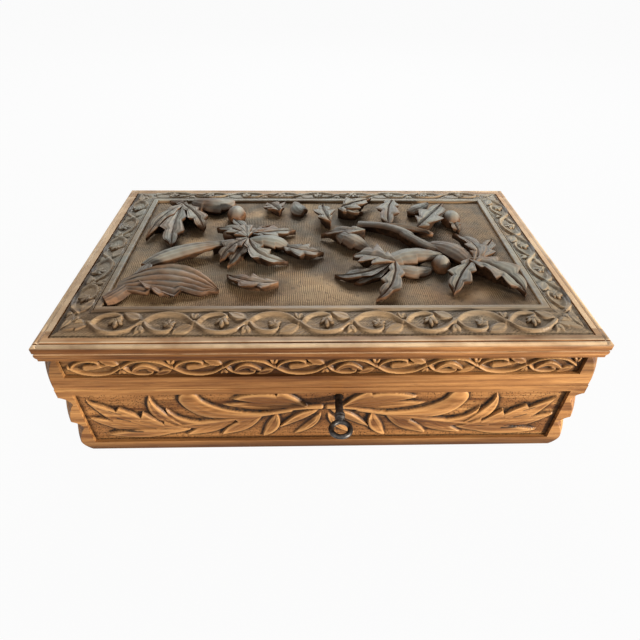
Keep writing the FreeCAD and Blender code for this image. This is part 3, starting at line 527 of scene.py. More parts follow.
# %% Dirt and painted shade in hollows, wear and painted highlight on ridges, and ground
MOTTLE_GRID = 64


def blur(H, cells):
    # The mean over a square of cells, by running sums along one direction and then the other
    width = 2 * cells + 1
    for k, size in enumerate(H.shape):
        margin = [(0, 0), (0, 0)]
        margin[k] = (cells + 1, cells)
        total = np.cumsum(np.pad(H, margin, mode="edge"), axis=k)
        H = (np.take(total, range(width, width + size), axis=k) - np.take(total, range(size), axis=k)) / width
    return H


def wear_and_painted_light_of(H, cells, gain):
    # Below the mean around it is darkened, dirt and painted shade; above it is lightened, wear and a painted
    # highlight
    lift = (H - blur(blur(H, cells), cells)) * gain
    return np.clip(-lift, 0, 1), np.clip(lift - 0.15, 0, 1)


def bare_of(H):
    # One where no form covers the ground
    return 1 - soft(blur(H, 2) / 0.3)


def mottle(U, V, size, seed):
    # Smooth noise: random heights on a coarse grid, blended between its points
    heights = np.random.default_rng(seed).uniform(-1, 1, (MOTTLE_GRID, MOTTLE_GRID))
    a, b = U / size % (MOTTLE_GRID - 1), V / size % (MOTTLE_GRID - 1)
    i, j = a.astype(int), b.astype(int)
    p, q = soft(a - i), soft(b - j)
    return ((heights[i, j] * (1 - p) + heights[i + 1, j] * p) * (1 - q)
            + (heights[i, j + 1] * (1 - p) + heights[i + 1, j + 1] * p) * q)


def punched(U, V, pitch, depth):
    # Close small punch marks, bent so that no two rows agree
    bend = 0.45 * mottle(U, V, size=4.0, seed=3)
    across = np.sin(2 * np.pi * (U + bend) / pitch)
    return depth * across * np.sin(2 * np.pi * (V - 0.8 * bend + 0.25 * U) / pitch)


print("bare share of the trial sheet", round(float(bare_of(trial).mean()), 2))

# %% [markdown]
# A finished sheet becomes a closed slab: the carved face, a wall round it and a flat back. Faces that meet
# at a sharp angle keep a crisp edge, and the rest is shaded smooth.

# %% Mesh makers


def new_mesh(name, verts_mm, faces, values):
    mesh = bpy.data.meshes.new(name)
    mesh.from_pydata((np.asarray(verts_mm) * MM).tolist(), [], faces)
    for key, data in values.items():
        layer = mesh.attributes.new(key, "FLOAT", "POINT")
        layer.data.foreach_set("value", np.asarray(data, np.float32))
    mesh.polygons.foreach_set("use_smooth", [True] * len(mesh.polygons))
    return mesh


def placed(name, mesh, body):
    obj = bpy.data.objects.new(name, mesh)
    scene.collection.objects.link(obj)
    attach(obj, body)
    return obj


def new_piece(name, verts_mm, faces, body, material, values=None, crisp=60.0):
    mesh = new_mesh(name, verts_mm, faces, values or {})
    mesh.materials.append(material)
    mesh.set_sharp_from_angle(angle=math.radians(crisp))
    return placed(name, mesh, body)


def grid_faces(nu, nv, first=0):
    i, j = np.meshgrid(np.arange(nu - 1), np.arange(nv - 1), indexing="ij")
    a = (first + i * nv + j).reshape(-1)
    return np.stack([a, a + nv, a + nv + 1, a + 1], -1).tolist()


def loop_faces(nu, nv, first=0, ring=False):
    # Quads round a form that closes on itself. A ring closes both ways, and a turned form has two end caps
    starts = [first + i * nv for i in range(nu)]
    faces = []
    for p, q in zip(starts, starts[1:] + starts[:1]):
        for j in range(nv if ring else nv - 1):
            n = (j + 1) % nv
            faces.append((p + j, q + j, q + n, p + n))
    caps = [] if ring else [starts[::-1], [p + nv - 1 for p in starts]]
    return faces + caps


def rim_of(nu, nv):
    low = [i * nv for i in range(nu)]
    right = [(nu - 1) * nv + j for j in range(1, nv)]
    high = [i * nv + nv - 1 for i in range(nu - 2, -1, -1)]
    left = list(range(nv - 2, 0, -1))
    return low + right + high + left


def skirt(ring, lower):
    # Quads from a rim down to the points below it, which come in the same order
    return list(zip(ring[1:] + ring[:1], ring, lower, lower[1:] + lower[:1]))


def closed_sheet(nu, nv):
    # A sheet's rim, and its faces with a wall and a flat back, whose points follow those of the sheet
    ring = rim_of(nu, nv)
    lower = list(range(nu * nv, nu * nv + len(ring)))
    return ring, grid_faces(nu, nv) + skirt(ring, lower) + [lower[::-1]]


def slab(name, place, U, V, H, wear_and_painted_light, back, body, material):
    # place turns (u, v, h) into points, the three values darken (dirt and painted shade), lighten (wear and
    # a painted highlight) and mark ground, and the back lies at h = back
    ring, faces = closed_sheet(*U.shape)
    face = place(U, V, H).reshape(-1, 3)
    rim = place(U, V, np.full_like(H, back)).reshape(-1, 3)[ring]
    # The slab's wall is darkened fully towards its back: painted shade
    values = {key: np.concatenate([value.reshape(-1), np.full(len(ring), at_rim)])
              for key, value, at_rim in zip(("shade_and_grime", "worn_and_highlit", "ground"), wear_and_painted_light, (1.0, 0.0, 0.0))}
    return new_piece(name, np.vstack([face, rim]), faces, body, material, values)


print("trial slab", len(closed_sheet(*trial.shape)[1]), "faces")

# %% [markdown]
# The front and both ends have two sunk grounds each, one above the other. One helper lays a grid over such a
# ground, and one makes the carved grid into a slab on that wall.

# %% Sheets on the walls
SIDES = ("front", "left", "right")
X_OUT, Y_OUT = 148.5, 95.5
GROUND, GROUND_END = 2.5, 8.5
EDGE_GAP = 0.08
SLAB_BACK = 0.02


def wall_place(side):
    # (u, v, h) on a wall: u along it as seen from outside, v up, h outwards from the sunk ground
    if side == "front":
        return lambda u, v, h: np.stack([u, GROUND - Y_OUT - h, v], -1)
    if side == "left":
        return lambda u, v, h: np.stack([GROUND - X_OUT - h, -u, v], -1)
    return lambda u, v, h: np.stack([X_OUT - GROUND + h, u, v], -1)


def wall_sheet(side, low, high, step):
    # Half the length of a sunk ground, a grid over it and its heights, which are still zero
    half = (X_OUT if side == "front" else Y_OUT) - GROUND_END
    end, low, high = half - EDGE_GAP, low + EDGE_GAP, high - EDGE_GAP
    columns = np.linspace(-end, end, int(round(2 * end / step)) + 1)
    rows = np.linspace(low, high, int(round((high - low) / step)) + 1)
    U, V = np.meshgrid(columns, rows, indexing="ij")
    return half, U, V, np.zeros_like(U)


def wall_slab(carving, side, U, V, H, wear_and_painted_light, body):
    material = finish["front" if side == "front" else "side"]
    return slab(f"carving_{carving}_{side}", wall_place(side), U, V, H, wear_and_painted_light, SLAB_BACK, body,
                material)


print("sunk ground of the front", 2 * (X_OUT - GROUND_END), "mm long")

# %% [markdown]
# ## The lower panels
# Two leafy branches spring from behind the key and sweep out to the ends: long leaves above, a pod, two
# crescents, a broad toothed leaf at the end, and short leaves below. The lines are the ones that the frame's
# own ridges follow, so each carved leaf lies over its ridge and hides it. One half is drawn and mirrored.

# %% Lower panels
LOW_Z0, LOW_Z1 = 6.5, 48.0
DRAWN_HALF = 140.0
LOWER_STEP = {"front": 0.42, "left": 0.5, "right": 0.5}
RIDGE_TOP = 1.85
KEY_X, KEY_Z = 8.0, 42.5
KEYHOLE_R = 2.9
KEYHOLE_SLOT_HALF, KEYHOLE_SLOT_Z, KEYHOLE_SLOT_REACH = 1.9, 39.4, 3.0
PLAIN_FORMS = {"stem": stem, "pod": pod}
# Kind, then foot, middle and tip of its line, half width, height, high side and number of teeth
BRANCH = [
    ("leaf", (8, 34), (28, 41), (54, 43), 7.2, 2.3, 1, 2),
    ("leaf", (20, 34), (40, 36), (60, 38), 3.6, 1.7, 1, 0),
    ("pod", (30, 31), (62, 31), (77, 42.5), 6.2, 2.4, 1, 0),
    ("leaf", (56, 25), (80, 21), (92, 36), 4.4, 2.3, 1, 0),
    ("leaf", (80, 18), (96, 29), (99, 46), 4.6, 2.4, 1, 0),
    ("leaf", (80, 17), (110, 22), (135, 42), 9.6, 2.4, 1, 4),
    ("leaf", (84, 17), (108, 13), (133, 13), 4.9, 2.4, 1, 0),
    ("leaf", (92, 18), (118, 20), (138, 28), 5.6, 2.0, 1, 3),
    ("leaf", (28, 31), (31, 19), (38, 9), 4.4, 2.3, -1, 0),
    ("leaf", (36, 29), (49, 20), (63, 11), 6.0, 2.2, 1, 2),
    ("leaf", (52, 25), (67, 18), (85, 11), 5.0, 2.0, 1, 2),
    ("leaf", (3, 33), (14, 27), (29, 16), 3.4, 2.2, 1, 0),
    ("leaf", (2, 30), (8, 20), (20, 10), 3.0, 1.7, -1, 0),
    ("stem", (2, 35), (18, 34), (34, 30), 1.7, 2.2, 1, 0),
    ("stem", (20, 33), (58, 25), (100, 18), 2.3, 2.2, 1, 0),
]
# Cuts in the end leaves, not carved but painted dark as shade: from, to and half width
PAINTED_CUTS = [((109, 15.5), (122, 16.5), 1.0), ((114, 25), (121, 27.5), 0.7), ((118, 31), (124, 34), 0.6)]


def lower_panel(side):
    half, U, V, H = wall_sheet(side, LOW_Z0, LOW_Z1, LOWER_STEP[side])
    painted_cut_shade = np.zeros_like(U)
    squeeze = half / DRAWN_HALF
    for turn in (1, -1):
        for kind, foot, mid, tip, wide, top, high, teeth in BRANCH:
            line = curve_through(*((turn * u * squeeze, v) for u, v in (foot, mid, tip)))
            wide = wide * (0.7 + 0.3 * squeeze)
            roof(H, U, V, line[::CURVE_POINTS // 3], 0.9 * wide, RIDGE_TOP)
            if kind == "leaf":
                leaf(H, U, V, line, wide, top, turn * high, teeth)
            else:
                PLAIN_FORMS[kind](H, U, V, line, wide, top)
        for start, end, wide in PAINTED_CUTS:
            line = np.array([(turn * u * squeeze, v) for u, v in (start, end)])
            near, _, d = along(U, V, line, 2.0)
            raise_to(painted_cut_shade, near, soft((wide - np.abs(d)) / 0.5))
    shade_and_grime, worn_and_highlit = wear_and_painted_light_of(H, cells=4, gain=2.3)
    # The cuts only darken: painted shade
    shade_and_grime = np.maximum(shade_and_grime, painted_cut_shade)
    # Painted shade along the edges of the sunk ground, wider at its ends
    near_edge = np.minimum(np.minimum(0.7 * (half - np.abs(U)), V - LOW_Z0), LOW_Z1 - V)
    shade_and_grime = np.maximum(shade_and_grime, (1 - soft(near_edge / 2.8)) * (H < 0.8))
    bare = bare_of(H)
    H = np.maximum(H, 0.25 + bare * punched(U, V, pitch=1.6, depth=0.2))
    # The keyhole is sunk a little and painted dark: painted shade in the hole
    if side == "front":
        slot = (np.abs(U - KEY_X) < KEYHOLE_SLOT_HALF) & (np.abs(V - KEYHOLE_SLOT_Z) < KEYHOLE_SLOT_REACH)
        hole = (np.hypot(U - KEY_X, V - KEY_Z) < KEYHOLE_R) | slot
        H = np.where(hole, 0.06, H)
        shade_and_grime = np.where(hole, 1.0, shade_and_grime)
    return wall_slab("lower", side, U, V, H, (shade_and_grime, worn_and_highlit, bare), "base")


for side in SIDES:
    print(side, len(lower_panel(side).data.polygons))

# %% [markdown]
# ## Running vines
# The frieze under the moulding and the border of the lid are one vine. It swings from side to side. At each
# turn it throws a hooked shoot round the hollow of the turn, a pointed leaf that looks back, and two buds.
# One turn is drawn in shares of its own length and swing, and repeated with every second one flipped. In the
# frieze the hollow of a turn also holds a pod or a leaf.

# %% One vine for frieze and border
VINE = [(-0.5, 0.0), (-0.39, 0.42), (-0.25, 0.80), (0.0, 0.99), (0.25, 0.80), (0.39, 0.42), (0.5, 0.0)]
SHOOT = [(-0.46, 0.08), (-0.41, -0.30), (-0.33, -0.63), (-0.20, -0.87), (-0.04, -0.93), (0.08, -0.76),
         (0.11, -0.50), (0.04, -0.30)]
BACK_LEAF = [(0.50, -0.30), (0.32, -0.66), (0.10, -1.04)]
BUDS = [[(0.49, 0.2), (0.47, 0.62), (0.40, 1.05)], [(0.51, 0.2), (0.53, 0.62), (0.57, 1.0)]]
EYE_POD = [(0.34, -0.45), (0.05, -0.2), (-0.16, -0.02)]
EYE_LEAF = [(-0.38, -0.95), (-0.06, 0.12), (0.36, -0.9)]


def vine(H, U, V, run, middle, swing, pitch, thick, top, eyes=False):
    count = max(2, int(round(2.0 * run / pitch)))
    step = 2.0 * run / count
    centres = []
    for k in range(count):
        u = -run + (k + 0.5) * step
        way = -1 if k % 2 == 0 else 1

        def drawn(points):
            return smooth_path([(u + a * step, middle + way * b * swing) for a, b in points])

        leaf(H, U, V, drawn(BACK_LEAF), 3.5 * thick, top, -way)
        for bud in BUDS:
            leaf(H, U, V, drawn(bud), 1.8 * thick, 0.95 * top, way)
        crest(H, U, V, drawn(SHOOT), top, 2.7 * thick, way)
        crest(H, U, V, drawn(VINE), 1.1 * top, 2.6 * thick, -way)
        if eyes and way < 0:
            pod(H, U, V, drawn(EYE_POD), half=2.0, top=1.15 * top)
        elif eyes:
            leaf(H, U, V, drawn(EYE_LEAF), half=2.3, top=1.15 * top, high=way)
        centres.append((u + 0.03 * step, middle - 0.28 * way * swing, way))
    return centres


print("points in a turn of the vine", len(VINE), "and in its shoot", len(SHOOT))

# %% Frieze
FRIEZE_Z0, FRIEZE_Z1 = 61.5, 74.0
FRIEZE_STEP, FRIEZE_SWING, FRIEZE_PITCH = 0.36, 5.2, 27.0
HATCH = 1.35


def frieze(side):
    half, U, V, H = wall_sheet(side, FRIEZE_Z0, FRIEZE_Z1, FRIEZE_STEP)
    middle = (FRIEZE_Z0 + FRIEZE_Z1) / 2.0
    vine(H, U, V, half - 4.0, middle, FRIEZE_SWING, FRIEZE_PITCH, thick=0.72, top=2.1, eyes=True)
    shade_and_grime, worn_and_highlit = wear_and_painted_light_of(H, cells=3, gain=1.2)
    # Painted shade along the ends and the foot of the frieze
    near_edge = np.minimum(half - np.abs(U), V - FRIEZE_Z0)
    shade_and_grime = np.maximum(shade_and_grime, (1 - soft(near_edge / 1.8)) * (H < 0.7))
    bare = bare_of(H)
    hatch = np.sin(2 * np.pi * (U + 0.9 * V + 0.5 * mottle(U, V, size=5.0, seed=4)) / HATCH)
    # Painted shade in the hatch grooves
    shade_and_grime = np.maximum(shade_and_grime, bare * np.clip(0.28 - 0.42 * hatch, 0, 0.85))
    H = np.maximum(H, 0.2 + 0.14 * bare * hatch)
    return wall_slab("frieze", side, U, V, H, (shade_and_grime, worn_and_highlit, 0.5 * bare), "lid")


for side in SIDES:
    print(side, len(frieze(side).data.polygons))

# %% [markdown]
# ## The lid's border
# Four strips meet at mitres on the sloping edge of the lid panel, each with its own run of the vine and a
# leaf in the corner. At the ends of the lid the panel stops short of the rail, so the strips do too.

# %% Border strips
TOP_Z = 84.0
X_OPEN, Y_OPEN = 143.0, 89.0
PANEL_GAP, STRIP_GAP = 1.0, 0.1
BORDER, BORDER_RISE, BORDER_BACK = 18.2, 3.2, -0.3
BORDER_SWING, BORDER_PITCH = 7.0, 27.7
STEP_ALONG, STEP_ACROSS = 0.42, 0.40
INNER_RIM, RIM_FOOT_SHADE = 17.2, 16.8
flower_points, flower_turns = [], []


def border_strip(name, half, face, turn, gap):
    # v runs from the outer edge inwards; the strip narrows at 45 degrees to the mitres
    v0, v1 = gap + STRIP_GAP, BORDER - STRIP_GAP
    nv = int((v1 - v0) / STEP_ACROSS) + 1
    nu = int(2 * half / STEP_ALONG) + 1
    S, V = np.meshgrid(np.linspace(-1, 1, nu), np.linspace(v0, v1, nv), indexing="ij")
    U = S * (half - np.maximum(V, PANEL_GAP) - STRIP_GAP)
    H = np.zeros_like(U)
    run = half - BORDER
    centres = vine(H, U, V, run, BORDER / 2.0, BORDER_SWING, BORDER_PITCH, thick=1.0, top=1.8)
    for e in (-1, 1):
        corner = [(e * (run - 1.0), 8.0), (e * (run + 6.0), 7.0), (e * (half - 5.0), 4.6)]
        leaf(H, U, V, smooth_path(corner), half=2.6, top=1.4, high=-e, teeth=2)
        bud = [(e * (run + 2), 9.4), (e * (run + 5), 11.0), (e * (run + 8), 9.0)]
        leaf(H, U, V, smooth_path(bud), half=1.6, top=1.3, high=e)
    H = np.maximum(H, 0.9 * soft((V - INNER_RIM) / 0.4))
    shade_and_grime, worn_and_highlit = wear_and_painted_light_of(H, cells=4, gain=0.5)
    # A dark line at the foot of the inner rim: painted shade
    shade_and_grime = np.maximum(0.6 * shade_and_grime, 0.8 * np.exp(-((V - RIM_FOOT_SHADE) / 0.5) ** 2) * (H < 0.8))
    # A dark strip along the outer edge: painted shadow of the gap to the rail
    shade_and_grime = np.maximum(shade_and_grime, soft((4 * gap + 0.8 - V) / 0.8))
    bare = bare_of(H)
    H = np.maximum(H, 0.3 + 0.8 * bare * punched(U, V, pitch=1.7, depth=0.26))
    H = H - 0.5 * soft((gap + 0.7 - V) / 0.6)
    c, s = math.cos(turn), math.sin(turn)

    def place(u, v, h):
        x, y = u, -(face - v)
        z = TOP_Z + BORDER_RISE * v / BORDER + h
        return np.stack([c * x - s * y, s * x + c * y, z], -1)

    for u, v, way in centres:
        flower_points.append(place(np.array(u), np.array(v), np.array(0.45)))
        flower_turns.append(turn + (math.pi if way < 0 else 0.0))
    wear_and_painted_light = (shade_and_grime, worn_and_highlit, 0.3 * bare)
    return slab(name, place, U, V, H, wear_and_painted_light, BORDER_BACK, "lid", finish["top"])


for name, half, face, turn, gap in (("border_front", X_OPEN, Y_OPEN, 0.0, 0.2),
                                    ("border_right", Y_OPEN, X_OPEN, math.pi / 2, PANEL_GAP),
                                    ("border_back", X_OPEN, Y_OPEN, math.pi, 0.2),
                                    ("border_left", Y_OPEN, X_OPEN, -math.pi / 2, PANEL_GAP)):
    strip = border_strip(name, half, face, turn, gap)
    print(name, len(strip.data.polygons))

# %% [markdown]
# The five-petalled flowers inside the turns repeat, so Geometry Nodes set one flower on every centre. Each
# point carries the angle at which its flower looks.

# %% Border flowers with Geometry Nodes
# Each petal's lean, length and half width
PETALS = ((-1.6, 3.2, 0.8), (-0.85, 4.6, 1.15), (0.0, 5.4, 1.25), (0.85, 4.6, 1.15), (1.6, 3.2, 0.8))
FLOWER_SIZE = 1.2


def petal_flower():
    verts, faces, dirt_and_shade = [], [], []
    rows, columns = 7, 5
    for lean, long, wide in PETALS:
        a = math.pi / 2 + lean
        d, n = (math.cos(a), math.sin(a)), (-math.sin(a), math.cos(a))
        first = len(verts)
        for i in range(rows):
            t = i / (rows - 1)
            w = wide * math.sin(math.pi * (0.10 + 0.84 * t ** 1.3)) ** 0.8
            for j in range(columns):
                q = j / 2 - 1
                r = long * t - 0.4
                z = 1.35 * (1 - 0.4 * q * q) * (1 - 0.35 * t * t) - 0.4 * math.exp(-(q / 0.25) ** 2)
                z = -0.3 if abs(q) == 1 or i in (0, rows - 1) else z
                verts.append((d[0] * r + n[0] * w * q, d[1] * r + n[1] * w * q, z))
                # Points below the ground are darkened: painted shade
                dirt_and_shade.append(0.7 if z < 0 else 0.0)
        faces += grid_faces(rows, columns, first)
        faces.append([first + k for k in reversed(rim_of(rows, columns))])
    return bpy.data.objects.new("petal_flower", new_mesh("petal_flower", verts, faces, {"shade_and_grime": dirt_and_shade}))


def flower_tree(material):
    tree = bpy.data.node_groups.new("flowers_on_centres", "GeometryNodeTree")

    def socket(name, way, kind):
        return tree.interface.new_socket(name, in_out=way, socket_type="NodeSocket" + kind)

    socket("Geometry", "INPUT", "Geometry")
    size = socket("Flower size", "INPUT", "Float")
    shape = socket("Flower", "INPUT", "Object")
    socket("Geometry", "OUTPUT", "Geometry")
    given = tree.nodes.new("NodeGroupInput").outputs
    flower = add(tree, "GeometryNodeObjectInfo", Object=given["Flower"])
    turn = add(tree, "GeometryNodeInputNamedAttribute", Name="turn")
    turn.data_type = "FLOAT"
    angle = add(tree, "ShaderNodeCombineXYZ", Z=turn.outputs["Attribute"])
    put = add(tree, "GeometryNodeInstanceOnPoints", Points=given["Geometry"], Scale=given["Flower size"],
              Instance=flower.outputs["Geometry"], Rotation=angle.outputs[0])
    real = add(tree, "GeometryNodeRealizeInstances", Geometry=put.outputs[0])
    coated = add(tree, "GeometryNodeSetMaterial", Geometry=real.outputs[0], Material=material)
    add(tree, "NodeGroupOutput", Geometry=coated.outputs[0])
    return tree, size.identifier, shape.identifier


def border_flowers():
    mesh = new_mesh("border_flowers", flower_points, [], {"turn": flower_turns})
    seed = bpy.data.objects.new("flower_seed", mesh)
    scene.collection.objects.link(seed)
    flower = petal_flower()
    scene.collection.objects.link(flower)
    tree, size, shape = flower_tree(finish["top"])
    modifier = seed.modifiers.new("flowers", "NODES")
    modifier.node_group = tree
    modifier[size] = FLOWER_SIZE
    modifier[shape] = flower
    bpy.context.view_layer.update()
    graph = bpy.context.evaluated_depsgraph_get()
    made = bpy.data.meshes.new_from_object(seed.evaluated_get(graph))
    bpy.data.objects.remove(seed)
    bpy.data.objects.remove(flower)
    return placed("border_flowers", made, "lid")


flowers = border_flowers()
print("flowers", len(flower_points), len(flowers.data.polygons))

# %% [markdown]
# ## The field
# The sunk middle was flattened with a small gouge pushed up and down, which left close upright strokes in
# rows that don't quite meet. A bump would look flat in raking light, so they are real ridges here. Dirt and
# painted shade lie round the leaves and along the bead, so the field first needs the lines of the leaves.

# %% Lines of the sprays
# Kind, then foot, middle and tip of its line with heights above the field, and full width
SPRAY_LEFT = [
    ("stem", (-121, -62, 4.5), (-110, -49, 6.5), (-103, -29, 7.5), 10),
    ("blade", (-106, -32, 7.5), (-90, -17, 9.5), (-63, -8, 9.0), 12),
    ("stem", (-69, -9, 9.0), (-57, -5, 8.5), (-46, -3, 8.5), 6),
    ("plume", (-116, -53, 5.5), (-86, -49, 7.5), (-60, -53, 2.6), 21),
    ("leaf", (-104, -49, 6.5), (-93, -54, 5.0), (-87, -57, 2.2), 10),
    ("leaf", (-96, 44, 9.0), (-107, 26, 9.0), (-115, 6, 2.8), 10),
    ("leaf", (-97, 44, 9.0), (-98, 14, 7.0), (-96, -4, 2.5), 15),
    ("leaf", (-97, 45, 9.0), (-84, 27, 9.0), (-79, 17, 2.8), 12),
    ("leaf", (-94, 45, 8.0), (-101, 51, 8.0), (-109, 56, 6.0), 7),
    ("shell", (-92, 60, 6.5), (-75, 53, 9.5), (-63, 59, 6.5), 20),
    ("leaf", (-47, -3, 8.5), (-55, 5, 10.0), (-69, 13, 6.5), 13),
    ("leaf", (-47, -2, 8.5), (-51, 8, 10.0), (-60, 27, 6.5), 12),
    ("leaf", (-47, -4, 8.5), (-57, -14, 8.0), (-63, -22, 2.2), 12),
    ("leaf", (-47, -6, 8.5), (-52, -18, 6.0), (-58, -27, 1.8), 9),
    ("leaf", (-46, -5, 8.5), (-38, -20, 7.0), (-21, -23, 2.2), 13),
    ("shell", (-46, -4, 8.5), (-31, -4, 10.0), (-21, -7, 5.0), 14),
    ("leaf", (-46, 4, 7.0), (-32, 11, 5.5), (-17, 16, 3.2), 14),
    ("leaf", (-46, 4, 8.0), (-41, 12, 7.0), (-34, 19, 5.5), 7),
    ("leaf", (-24, -6, 4.0), (-12, -14, 6.0), (1, -13, 3.0), 15),
    ("leaf", (-26, -47, 3.5), (-42, -48, 5.5), (-57, -37, 2.2), 13),
    ("leaf", (-29, 44, 4.0), (-32, 50, 5.0), (-39, 60, 3.0), 16),
]
# Centre and two radii
NUTS_LEFT = [((-59, 39, 3.5), 6.4, 8.4), ((-59, 7, 4.5), 5.6, 5.0)]
SPRAY_RIGHT = [
    ("leaf", (7, 24, 6.0), (3, 33, 9.0), (2, 50, 6.0), 14),
    ("shell", (-12, 43, 5.0), (-15, 48, 7.0), (-18, 60, 5.0), 13),
    ("leaf", (14, 44, 6.0), (22, 46, 9.0), (38, 60, 6.0), 18),
    ("leaf", (13, 43, 7.0), (22, 39, 7.5), (31, 43, 4.0), 9),
    ("leaf", (54, 57, 6.5), (48, 37, 9.0), (46, 17, 4.5), 15),
    ("shell", (64, 45, 6.0), (70, 46, 8.0), (80, 56, 6.0), 11),
    ("leaf", (65, 16, 6.0), (75, 27, 9.0), (91, 55, 5.0), 18),
    ("leaf", (92, 29, 5.5), (93, 22, 4.5), (95, 17, 2.0), 8),
    ("stem", (26, 25, 6.0), (46, 15, 9.0), (60, 1, 9.0), 6.5),
    ("stem", (54, 7, 9.0), (65, -8, 9.0), (75, -15, 8.0), 6.5),
    ("stem", (43, 18, 8.5), (59, 15, 8.0), (76, 13, 4.0), 5.5),
    ("leaf", (29, 8, 8.0), (15, 7, 9.0), (0, 10, 3.5), 10),
    ("shell", (11, 6, 8.0), (21, -1, 9.0), (31, -6, 3.0), 16),
    ("leaf", (43, -33, 8.0), (30, -26, 9.0), (19, -20, 4.5), 22),
    ("leaf", (42, -31, 7.5), (22, -41, 6.0), (7, -37, 2.0), 10),
    ("leaf", (42, -32, 7.0), (28, -42, 4.5), (18, -45, 1.6), 9),
    ("leaf", (43, -31, 8.0), (39, -52, 7.0), (29, -63, 2.0), 12),
    ("shell", (38, -31, 8.0), (53, -23, 11.0), (73, -24, 9.0), 16),
    ("shell", (42, -30, 6.0), (54, -34, 6.0), (67, -30, 3.5), 13),
    ("leaf", (90, -33, 8.0), (95, -19, 11.0), (86, 3, 8.0), 12),
    ("shell", (90, -33, 8.0), (82, -17, 11.0), (67, -8, 8.0), 15),
    ("leaf", (91, -29, 5.0), (104, -10, 4.0), (114, 5, 2.5), 13),
    ("leaf", (88, -30, 8.0), (105, -42, 8.0), (115, -58, 2.0), 21),
    ("leaf", (91, -29, 8.0), (80, -45, 7.0), (74, -57, 1.6), 14),
]
NUTS_RIGHT = [((92, 32, 3.5), 6.4, 7.8), ((72, -29, 4.2), 5.6, 7.4)]
print("leaves and stems", len(SPRAY_LEFT), "left and", len(SPRAY_RIGHT), "right")

# %% Field ground
X_FIELD, Y_FIELD, FIELD_Z = 120.8, 66.8, 86.0
FIELD_COLUMNS, FIELD_ROWS = 1060, 88
STROKE, STROKE_ROW = 1.16, 7.5


def field_ground():
    hx, hy = X_FIELD - STRIP_GAP, Y_FIELD - STRIP_GAP
    columns, rows = np.linspace(-hx, hx, FIELD_COLUMNS), np.linspace(-hy, hy, FIELD_ROWS)
    U, V = np.meshgrid(columns, rows, indexing="ij")
    row = np.floor((V + 2.5 * mottle(U, V, size=30.0, seed=11)) / STROKE_ROW)
    wander = 0.4 * mottle(U, V, size=8.0, seed=12) + 0.37 * row
    wave = np.sin(2 * np.pi * (U + wander) / STROKE)
    depth = 0.55 + 0.45 * mottle(U, V, size=11.0, seed=13)
    H = 0.32 + 0.20 * wave * depth + 0.10 * mottle(U, V, size=17.0, seed=14)
    edge = np.minimum(hx - np.abs(U), hy - np.abs(V))
    # Darkened in the stroke valleys and along the bead: painted shade, with dirt along the bead
    shade_and_grime = np.clip(0.16 - 0.8 * wave * depth, 0, 1) + 0.7 * (1 - soft(edge / 2.5))
    # Darker round the leaves: dirt and painted shade
    for _, foot, mid, tip, width in SPRAY_LEFT + SPRAY_RIGHT:
        near, _, d = along(U, V, curve_through(foot[:2], mid[:2], tip[:2]), width / 2 + 8)
        raise_to(shade_and_grime, near, 0.5 * soft((width / 2 + 4 - np.abs(d)) / 6.0))
    shade_and_grime = shade_and_grime + 0.18 * mottle(U, V, size=9.0, seed=15)

    def place(u, v, h):
        return np.stack([u, v, FIELD_Z + h], -1)

    # Stroke crests lightened: wear and a painted highlight
    wear_and_painted_light = (np.clip(shade_and_grime, 0, 0.92), np.clip(0.3 * wave * depth, 0, 1), np.zeros_like(H))
    return slab("field_ground", place, U, V, H, wear_and_painted_light, SLAB_BACK, "lid", finish["field"])


ground = field_ground()
print("field", len(ground.data.polygons))

# %% [markdown]
# ## The leaf sprays
# High leaves, stems and nuts stand on the field. A leaf is a line through foot, middle and tip, with a
# height at each and a toothed width across it. Both halves swell up from the midrib, are fluted by the gouge
# and roll over at the edge. The middle is solid to the field and the edges are cut free underneath, as a
# carver undercuts them, so they throw real shadows.

# %% Outline and relief of a leaf


def leaf_outline(kind, t, s, width, seed):
    # Half width at each share of the length, how far the teeth lean forward, and the place within a lobe
    if kind == "stem":
        end = np.sqrt(np.clip(1 - (np.maximum(t - 0.8, 0) / 0.2) ** 2, 0.05, 1))
        return width / 2 * (1.0 + 0.08 * np.sin(9 * t + seed)) * end + 0 * s, 0.0, None
    if kind == "plume":
        share = (t * 3.2 + 0.1) % 1.0
        tooth = np.where(share < 0.8, share / 0.8, (1 - share) / 0.2)
        half = width / 2 * np.maximum(np.sin(np.pi * (0.07 + 0.91 * t)) ** 0.8, 0.05)
        return half * np.where(s < 0, 0.66 + 0.42 * tooth, 1.0), 0.3, None
    if kind == "blade":
        return width / 2 * (0.45 + 0.6 * np.sin(np.pi * t)) + 0 * s, 0.0, None
    if kind == "shell":
        half = width / 2 * np.maximum(np.sin(np.pi * (0.1 + 0.88 * t)) ** 0.7, 0.05)
        notch = (t * 3.0 + 0.2) % 1.0
        return half * np.where(s < 0, 0.86 + 0.2 * notch, 1.0), 0.1, None
    lobes = 3.0 if width > 11 else 2.0
    share = (t * lobes + np.where(s > 0, 0.05, 0.38)) % 1.0
    half = width / 2 * np.maximum(np.sin(np.pi * np.clip(0.05 + 0.95 * t, 0, 1) ** 0.9), 0.04)
    tooth = np.where(share < 0.74, share / 0.74, (1 - share) / 0.26)
    return half * (0.60 + 0.58 * tooth), 0.5, share


